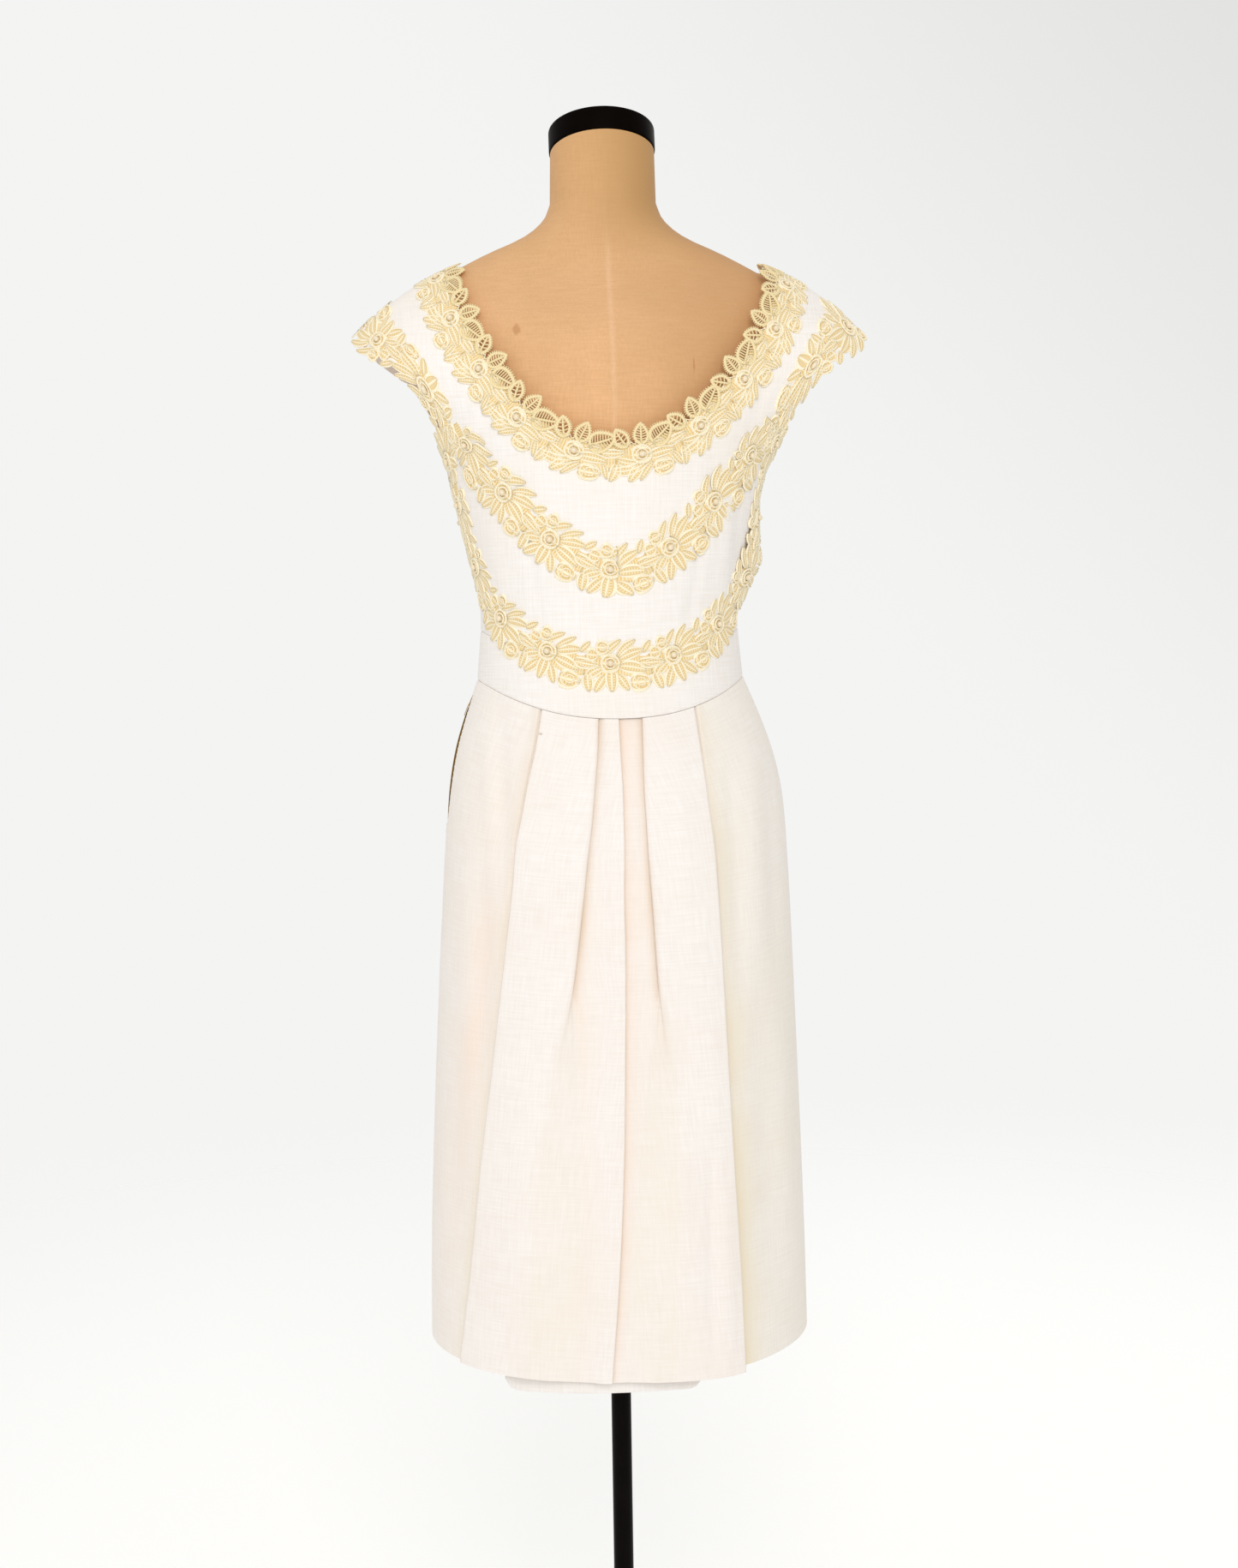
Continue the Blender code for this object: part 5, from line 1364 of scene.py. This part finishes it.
# The swags' and sleeves' repeat: a rosette near the middle line with leaves and curls on both sides.
# Its leaves are drawn a seventh fuller, so that they fill the band as in the photograph.
SWAG_ROSETTE = (22, 2)
motif = Motif(1.14)
motif.ground(10, -12, -0.8)
motif.leaf((28, 9), (45.5, 22.5), 7.5, 0.2, bend=1.2)
motif.leaf((30, 6), (53, 13), 9.5, 0, bend=1.5)
motif.leaf((17, 11), (32, 23.5), 7.5, 0.1, bend=1)
motif.leaf((8.5, 16), (20.5, 16), 13, -0.1, blunt=True, count=8)
motif.ring((14.5, 16.2), 5.6, 0.75, 0.9, 16)
motif.ring((14.5, 16.2), 2.7, 0.6, 1.2, 10)
motif.leaf((58.5, 9), (69, 9), 11.5, -0.1, blunt=True, count=8)
motif.ring((63.7, 9), 5, 0.7, 0.9, 16)
motif.leaf((52, 11), (60.5, 20.5), 7.5, 0)
motif.leaf((30.5, 0), (53.5, -5.5), 11, 0.1, bend=1)
motif.leaf((48, 1.5), (71, -0.5), 9.5, 0.2, blunt=True)
motif.ring((60, 0.5), 2.9, 0.5, 1.4, 14, 2.4, -0.08)
motif.leaf((23, -5), (24, -23), 10.5, 0.1, blunt=True)
motif.leaf((29, -8), (36.5, -22), 8.5, 0)
motif.leaf((39, -15.5), (56, -15.5), 17, -0.1, blunt=True, count=9)
motif.ring((47.5, -15), 7, 0.75, 0.9, 18)
motif.ring((47.5, -15), 3.6, 0.65, 1.2, 12)
motif.leaf((60.5, -8), (63.5, -23.5), 9, 0.1)
motif.leaf((17.5, -9), (10, -23.5), 9, 0)
motif.leaf((15, -2), (1.5, -13), 8.5, 0.15, bend=-1.5)
rosette(motif, SWAG_ROSETTE, 8.4)
swag_object = motif.made("Swag_repeat")

# A pearl is 5.4 mm across and sits in its rosette's inner ring.
PEARL_RADIUS = 2.7
PEARL_UP = 2.6
pearl_profile = [(PEARL_RADIUS * sin(a), -PEARL_RADIUS * cos(a)) for a in np.linspace(0, pi, 9)]
pearl_points, pearl_faces = turned(pearl_profile, 12)


def pearl_at(name, centre):
    """A pearl over a rosette of the flat repeat."""
    mesh = meshed(name, pearl_points / 1000 + np.array((*centre, PEARL_UP)) / 1000, pearl_faces)
    mesh.shade_smooth()
    return bpy.data.objects.new(name, mesh)


neck_pearl = pearl_at("Neck_pearl", NECK_ROSETTE)
swag_pearl = pearl_at("Swag_pearl", SWAG_ROSETTE)


def node_group(name, inputs, output):
    """A new geometry tree with named inputs and one output, and the node of its inputs."""
    tree = bpy.data.node_groups.new(name, "GeometryNodeTree")
    for key, kind in inputs.items():
        tree.interface.new_socket(key, in_out="INPUT", socket_type="NodeSocket" + kind)
    tree.interface.new_socket(output, in_out="OUTPUT", socket_type="NodeSocketGeometry")
    return tree, add(tree, "NodeGroupInput", {})


# The tree lays repeats end to end and bends them over a carrier strip, by the strip's own flat map.
band_inputs = {
    "Strip": "Geometry", "Repeat": "Object", "Repeats": "Int", "Repeat length": "Float", "Below": "Float",
    "Above": "Float", "Finish": "Material",
}
band_tree, given = node_group("Lace along a strip", band_inputs, "Lace")
shape = add(band_tree, "GeometryNodeObjectInfo", {"Object": given.outputs["Repeat"]})
step = add(band_tree, "ShaderNodeCombineXYZ", {"X": given.outputs["Repeat length"]})
spots = add(band_tree, "GeometryNodeMeshLine", {"Count": given.outputs["Repeats"], "Offset": step})
laid = add(band_tree, "GeometryNodeInstanceOnPoints", {
    "Points": spots, "Instance": shape.outputs["Geometry"],
})
flat = add(band_tree, "GeometryNodeRealizeInstances", {"Geometry": laid})
where = add(band_tree, "GeometryNodeInputPosition", {})
flat_place = add(band_tree, "ShaderNodeSeparateXYZ", {"Vector": where})
whole = add(band_tree, "ShaderNodeMath", {
    "operation": "MULTIPLY", 0: given.outputs["Repeats"], 1: given.outputs["Repeat length"],
})
along_share = add(band_tree, "ShaderNodeMapRange", {
    "Value": flat_place.outputs["X"], "From Max": whole, "To Min": 0.001, "To Max": 0.999,
})
below = add(band_tree, "ShaderNodeMath", {"operation": "MULTIPLY", 0: given.outputs["Below"], 1: -1.0})
across_share = add(band_tree, "ShaderNodeMapRange", {
    "Value": flat_place.outputs["Y"], "From Min": below, "From Max": given.outputs["Above"], "To Min": 0.001,
    "To Max": 0.999,
})
spot_on_map = add(band_tree, "ShaderNodeCombineXYZ", {"X": along_share, "Y": across_share})
strip_map = add(band_tree, "GeometryNodeInputNamedAttribute", {
    "data_type": "FLOAT_VECTOR", "Name": "strip_map",
})
lift_way = add(band_tree, "GeometryNodeInputNamedAttribute", {
    "data_type": "FLOAT_VECTOR", "Name": "lift_way",
})
strip_place = add(band_tree, "GeometryNodeInputPosition", {})
found = []
for value in (strip_place, lift_way):
    sample = add(band_tree, "GeometryNodeSampleUVSurface", {
        "data_type": "FLOAT_VECTOR", "Mesh": given.outputs["Strip"], "Value": value, "UV Map": strip_map,
        "Sample UV": spot_on_map,
    })
    found.append(sample)
lifted = add(band_tree, "ShaderNodeVectorMath", {
    "operation": "SCALE", "Scale": flat_place.outputs["Z"], 0: found[1],
})
moved = add(band_tree, "ShaderNodeVectorMath", {"operation": "ADD", 0: found[0], 1: lifted})
bent = add(band_tree, "GeometryNodeSetPosition", {"Geometry": flat, "Position": moved})
real = add(band_tree, "GeometryNodeRealizeInstances", {"Geometry": bent})
coloured = add(band_tree, "GeometryNodeSetMaterial", {"Geometry": real, "Material": given.outputs["Finish"]})
add(band_tree, "NodeGroupOutput", {"Lace": coloured})


def walk(facing, angle, section, target):
    """The places on the bodice's full shape that are nearest to targets near them."""
    step = 1e-4
    for _ in range(5):
        here = shell_point(facing, angle, section)
        along = (shell_point(facing, angle + step, section) - here) / step
        up = (shell_point(facing, angle, section + step) - here) / step
        gap = target - here
        aa, uu, au = (along * along).sum(-1), (up * up).sum(-1), (along * up).sum(-1)
        ga, gu = (gap * along).sum(-1), (gap * up).sum(-1)
        whole = aa * uu - au * au
        angle = angle + (ga * uu - gu * au) / whole
        section = np.clip(section + (gu * aa - ga * au) / whole, 0.02, LACE_TOP_SECTION)
    return angle, section


def strip(facing, path, below, above):
    """A carrier strip over the bodice along a path of (angle, section) places, and its repeats."""
    fine = np.array(path)
    points = shell_point(facing, fine[:, 0], fine[:, 1])
    lengths = lengths_along(points, 0)
    count = max(round(lengths[-1] / LACE_REPEAT), 1)
    wanted = np.linspace(0, lengths[-1], 10 * count + 1)
    angle, section = (np.interp(wanted, lengths, fine[:, k]) for k in (0, 1))
    middle = shell_point(facing, angle, section)
    ahead = np.gradient(middle, axis=0)
    side = np.cross(outward(facing, angle, section), ahead)
    side /= np.linalg.norm(side, axis=1, keepdims=True)
    shares = np.linspace(0, 1, 13)
    reach = -below(section)[:, None] * (1 - shares) + above(section)[:, None] * shares
    target = middle[:, None] + side[:, None] * reach[..., None]
    angles, sections = np.repeat(angle[:, None], 13, 1), np.repeat(section[:, None], 13, 1)
    angles, sections = walk(facing, angles, sections, target)
    places = shell_point(facing, angles, sections)
    outs = outward(facing, angles, sections)
    return slipped(places + outs * (CLOTH + 0.0002)), outs, count


def grown(carrier, tree, values):
    """The mesh that a tree makes from a carrier object and the values of its named inputs."""
    layer = carrier.modifiers.new("grown", "NODES")
    layer.node_group = tree
    for item in tree.interface.items_tree:
        if item.name in values:
            layer[item.identifier] = values[item.name]
    graph = bpy.context.evaluated_depsgraph_get()
    plain = bpy.data.meshes.new_from_object(carrier.evaluated_get(graph))
    carrier.modifiers.remove(layer)
    return plain


def lay_lace(name, node, facing, path, below, above, motif, pearl, spans, loose=False):
    """Bends a band of lace and its pearls over the bodice along a path, and sews them on."""
    places, outs, count = strip(facing, path, below, above)
    if loose:
        x, z = places[..., 0], places[..., 2]
        share = np.clip((-x - LOOSE_FROM_X) / LOOSE_BLEND_X, 0, 1) * np.interp(z, LOOSE_HEIGHTS, (0, 1, 0))
        share = share * np.linspace(1.3, 0.1, places.shape[1])
        places = places + np.stack([-LOOSE_LIFT * share, 0 * share, 0 * share], axis=-1)
    rows, columns = places.shape[:2]
    index = np.arange(rows * columns).reshape(rows, columns)
    quads = np.stack([index[:-1, :-1], index[1:, :-1], index[1:, 1:], index[:-1, 1:]], axis=-1).reshape(-1, 4)
    u, v = np.meshgrid(np.linspace(0, 1, rows), np.linspace(0, 1, columns), indexing="ij")
    flat_map = np.stack([u, v, 0 * u], axis=-1)
    mesh = meshed(name, places.reshape(-1, 3), quads, strip_map=flat_map, lift_way=outs)
    carrier = placed(name + "_strip", mesh)
    values = {"Repeats": count, "Repeat length": LACE_REPEAT, "Below": spans[0], "Above": spans[1]}
    made = []
    for piece_name, shape, finish in ((name, motif, guipure), (name + "_pearls", pearl, pearl_lacquer)):
        plain = grown(carrier, band_tree, {**values, "Repeat": shape, "Finish": finish})
        made.append(on_body(piece_name, plain))
    bpy.data.objects.remove(carrier)
    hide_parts(node)
    return made


def both_ways(facing, angles, sections):
    """A path from side to side, out of the half of it that starts at the centre line."""
    path = [(facing * a, s) for a, s in zip(angles[::-1], sections[::-1])]
    return path + [(-facing * a, s) for a, s in zip(angles[1:], sections[1:])]


bands = {"back": [], "front": []}
for side, facing in (("back", 1), ("front", -1)):
    neckline = BACK_NECKLINE if facing > 0 else FRONT_NECKLINE
    half = np.linspace(neckline[0][0], LACE_TOP_SECTION, 160)
    half_angle = angle_at(facing, np.zeros(160), half)
    bands[side] += lay_lace(
        f"Neckline_lace_{side}", f"lace_neck_{side}", facing, both_ways(facing, half_angle, half),
        lambda s: np.full_like(s, NECK_ON), lambda s: np.full_like(s, NECK_FREE), neck_object, neck_pearl,
        NECK_SPANS,
    )
    for level in ("upper", "lower"):
        table = np.array(SWAG_PATHS[side, level])
        fine = between(np.arange(len(table)), table, np.linspace(0, len(table) - 1, 80))
        half_angle = angle_at(facing, fine[:, 0], fine[:, 1])
        reach = lambda s: BAND_REACH * np.interp(s, (BAND_TAPER_START, BAND_TAPER_END), (1.0, 0.6))
        bands[side] += lay_lace(
            f"Swag_lace_{level}_{side}", f"lace_{level}_{side}", facing,
            both_ways(facing, half_angle, fine[:, 1]), reach, reach, swag_object, swag_pearl,
            SWAG_SPANS, loose=(side, level) == ("back", "lower"),
        )
    for hand, wearer in ((1, "left"), (-1, "right")):
        rise = np.linspace(SLEEVE_LACE_START, LACE_TOP_SECTION, 120)
        angle = hand * angle_at(facing, np.ones(120), rise)
        path = list(zip(angle, rise))
        if hand * facing < 0:
            path = path[::-1]

        def on_sleeve(s):
            broad = np.interp(s, (SLEEVE_NARROW_SECTION, SHOULDER_SECTION), (0, 1))
            return SLEEVE_ON_NARROW[wearer] * (1 - broad) + SLEEVE_ON_BROAD[wearer] * broad

        bands[side] += lay_lace(
            f"Sleeve_lace_{wearer}_{side}", f"lace_sleeve_{wearer}_{side}", facing, path, on_sleeve,
            lambda s: SLEEVE_FREE[side] * np.minimum((s - 6) / 1.5, 1), swag_object, swag_pearl, SWAG_SPANS,
        )
for leftover in (neck_object, swag_object, neck_pearl, swag_pearl):
    bpy.data.objects.remove(leftover)

# Zip
# A woven tape with a closed chain of brass teeth, its slider at the top. It has pushed up through the
# skirt's parted left side seam, to 0.7 mm past its line, and is stitched in along both sides of it.
TAPE_HALF = 0.008
TAPE_THICK = 0.001
TAPE_BACK = 0.0013
# The tape bends round the skirt's side with this radius.
SIDE_BEND = 0.07
TAPE_BENT = [
    # across, out from the seam line where the zip has pushed through
    (-0.008, -0.0026),
    (-0.003, -0.0019),
    (-0.0014, -0.0005),
    (-0.0006, 0.0006),
    (0, 0.0007),
    (0.0006, 0.0006),
    (0.0018, -0.0009),
    (0.0028, -0.0024),
    (0.005, -0.0029),
    (0.008, -0.0033),
]
TOOTH_PITCH = 0.0016
STITCH_PITCH = 0.0055
STITCH_INSET = 0.0042

# Cotton tape, dyed olive brown, closely ribbed across.
tape_cotton, tree, shader = material("Olive cotton tape", {"Roughness": 0.85, "Specular IOR Level": 0.2})
place = add(tree, "ShaderNodeTexCoord", {})
# Its ribs lie 0.6 mm apart, and are drawn so.
ribs = add(tree, "ShaderNodeTexWave", {
    "wave_type": "BANDS", "bands_direction": "Z", "Vector": place.outputs["Object"], "Scale": 520.0,
    "Distortion": 0.6,
})
shade = add(tree, "ShaderNodeMix", {
    "data_type": "RGBA", 0: ribs.outputs["Fac"], 6: linear("#7A6230"), 7: linear("#AC8D4C"),
})
bump = add(tree, "ShaderNodeBump", {"Height": ribs.outputs["Fac"], "Strength": 0.4, "Distance": 0.0003})
fill(shader, {"Base Color": shade, "Normal": bump})

# Stamped brass, aged: a dull dark gold with darker stains between the teeth.
brass, tree, shader = material("Aged stamped brass", {"Metallic": 1.0, "Roughness": 0.42})
mottled(tree, shader, 700.0, 3.0, "#6B5122", "#C09A52")

# Glazed cotton thread, off-white, twisted from two plies.
sewing_cotton, tree, shader = material("Off-white sewing cotton", {"Roughness": 0.6})
# The twist repeats each 0.5 mm. It is drawn at 0.8 mm so that it shows.
mottled(tree, shader, 1250.0, 1.0, "#D9CBB6", "#F4ECDF")

zip_heights = np.linspace(PLACKET_BOTTOM - 0.010, PLACKET_TOP + 0.004, 48)


def zip_face(y, z):
    """Places on the outer face of the zip's tape."""
    y, z = np.broadcast_arrays(np.asarray(y, dtype=float), np.asarray(z, dtype=float))
    side_x = between(skirt_drops, SKIRT_LEVELS, -z)[..., 2]
    bent = between([row[0] for row in TAPE_BENT], [row[1:] for row in TAPE_BENT], y)[..., 0]
    straight = -TAPE_BACK - y**2 / (2 * SIDE_BEND)
    return slipped(np.stack([side_x + straight + (bent - straight) * parted(z), y, z], axis=-1))


across, up = np.meshgrid(np.linspace(-TAPE_HALF, TAPE_HALF, 33), zip_heights)
tape_outer = zip_face(across, up)
points, faces = wall(tape_outer, tape_outer - (TAPE_THICK, 0, 0))
finished("Zip_tape", points, faces, tape_cotton, "zip", ["side_zip"])


def small_shape(name, profile):
    """A small closed shape of rings of (x, half y, half z), to be laid at many places."""
    turns = np.linspace(0, 2 * pi, 8, endpoint=False)
    points = [(x, half_y * cos(a), half_z * sin(a)) for x, half_y, half_z in profile for a in turns]
    return bpy.data.objects.new(name, meshed(name, points, tube(0, len(profile), 8)))


# The tree puts a small shape at each point, turned by the point's own turn, and a little uneven in size.
rows_inputs = {
    "Places": "Geometry", "Piece": "Object", "Smallest": "Float", "Largest": "Float", "Seed": "Int",
    "Finish": "Material",
}
rows_tree, given = node_group("Small pieces at places", rows_inputs, "Pieces")
shape = add(rows_tree, "GeometryNodeObjectInfo", {"Object": given.outputs["Piece"]})
turn_of = add(rows_tree, "GeometryNodeInputNamedAttribute", {"data_type": "FLOAT_VECTOR", "Name": "turn"})
size_of = add(rows_tree, "FunctionNodeRandomValue", {
    "data_type": "FLOAT", "Seed": given.outputs["Seed"], 2: given.outputs["Smallest"],
    3: given.outputs["Largest"],
})
turned_by = add(rows_tree, "FunctionNodeEulerToRotation", {0: turn_of})
laid = add(rows_tree, "GeometryNodeInstanceOnPoints", {
    "Points": given.outputs["Places"], "Instance": shape.outputs["Geometry"], "Rotation": turned_by,
    "Scale": size_of,
})
real = add(rows_tree, "GeometryNodeRealizeInstances", {"Geometry": laid})
coloured = add(rows_tree, "GeometryNodeSetMaterial", {"Geometry": real, "Material": given.outputs["Finish"]})
add(rows_tree, "NodeGroupOutput", {"Pieces": coloured})


def row_of(name, places, outs, aheads, piece, sizes, finish):
    """Small pieces at places: each one's +x points outwards and its +z along the row."""
    turns = []
    for out, ahead in zip(outs, aheads):
        out, ahead = Vector(out).normalized(), Vector(ahead)
        side = ahead.cross(out).normalized()
        turns.append(Matrix((out, side, out.cross(side))).transposed().to_euler())
    holder = placed(name + "_places", meshed(name, places, [], turn=turns))
    values = {"Piece": piece, "Smallest": sizes[0], "Largest": sizes[1], "Seed": 7, "Finish": finish}
    plain = grown(holder, rows_tree, values)
    bpy.data.objects.remove(holder)
    plain.shade_smooth()
    on_body(name, plain)
    bpy.data.objects.remove(piece)


# Teeth alternate from the two sides of the chain and meet at its middle.
tooth_heights = np.arange(PLACKET_BOTTOM - 0.006, PLACKET_TOP - 0.010, TOOTH_PITCH / 2)
tooth_sides = np.where(np.arange(len(tooth_heights)) % 2 == 0, 0.0005, -0.0005)
tooth_places = zip_face(tooth_sides, tooth_heights)
tooth_runs = np.gradient(tooth_places, axis=0)
tooth_runs[:, 1] = 0
tooth_profile = [(-0.0003, 0.0009, 0.00046), (0.0006, 0.0009, 0.00044), (0.0009, 0.0006, 0.0003)]
tooth = small_shape("Tooth", tooth_profile)
outs = np.tile((1.0, 0.0, 0.0), (len(tooth_heights), 1))
row_of("Zip_teeth", tooth_places, outs, tooth_runs, tooth, (0.97, 1.03), brass)

# The slider's flat body rides on the teeth, and its thin tab hangs down in the opening of the seam.
slider_top = PLACKET_TOP - 0.004
for name, bottom, top, outline in (
    # its bottom and top over the tape, and its half breadths at places down from the slider's top
    ("Zip_slider", 0.0002, 0.0011, {0: 0.0024, -0.001: 0.003, -0.005: 0.003, -0.008: 0.0019, -0.009: 0.0012}),
    ("Zip_tab", 0.0013, 0.0019, {-0.0080: 0.0004, -0.0090: 0.0007, -0.0175: 0.0007, -0.0190: 0.0004}),
):
    points = []
    for z, half in outline.items():
        corners = ((bottom, -half, 0), (top, -half, 0), (top, half, 0), (bottom, half, 0))
        points += [zip_face(0.0, slider_top + z) + corner for corner in corners]
    finished(name, points, tube(0, len(outline), 4), brass, "zip", [])

# Prick stitches run down both sides of the opening, 4 mm in from the edge.
stitch_places, stitch_outs, stitch_runs = [], [], []
for facing in (1, -1):
    for z in np.arange(PLACKET_BOTTOM - 0.006, PLACKET_TOP - 0.006, STITCH_PITCH):
        row = between(skirt_drops, SKIRT_LEVELS, -z)
        beyond = placket(z) * 1.2 + STITCH_INSET + (BACK_OPEN * parted(z) if facing > 0 else 0.0)
        angle = pi / 2 - beyond / row[3 if facing > 0 else 4]
        point, out = skirt_ring(facing, row, np.array(angle))
        dip = (BACK_DIP if facing > 0 else FRONT_DIP) * parted(z) * eased(1 - beyond / DIP_REACH)
        point = point - out * dip
        above, _ = skirt_ring(facing, between(skirt_drops, SKIRT_LEVELS, -z - 0.001), np.array(angle))
        stitch_places.append(slipped(point + out * (CLOTH + 0.00005)))
        stitch_outs.append(out)
        stitch_runs.append(point - above)
# A bar of five tight stitches ends the seam that holds the left outer fold shut below the yoke.
TACK_HEIGHT = 1.0480
tack_row = between(skirt_drops, SKIRT_LEVELS, -TACK_HEIGHT)
tack_fold = between(skirt_drops, LEFT_PLEAT, -TACK_HEIGHT)[0]
for k in range(5):
    fold_x = tack_fold + 0.0005 + swing_at(TACK_HEIGHT) - 0.0006 * k
    point, out = skirt_ring(1, tack_row, np.arcsin(fold_x / tack_row[2]))
    stitch_places.append(slipped(point + out * (CLOTH + 0.0009)))
    stitch_outs.append(out)
    stitch_runs.append((0.06, 0.0, 1.0))
stitch_profile = [(-0.0003, 0.00022, 0.0008), (0.0001, 0.00022, 0.00075), (0.00028, 0.00012, 0.0005)]
stitch = small_shape("Stitch", stitch_profile)
row_of("Hand_stitches", stitch_places, stitch_outs, stitch_runs, stitch, (0.8, 1.15), sewing_cotton)
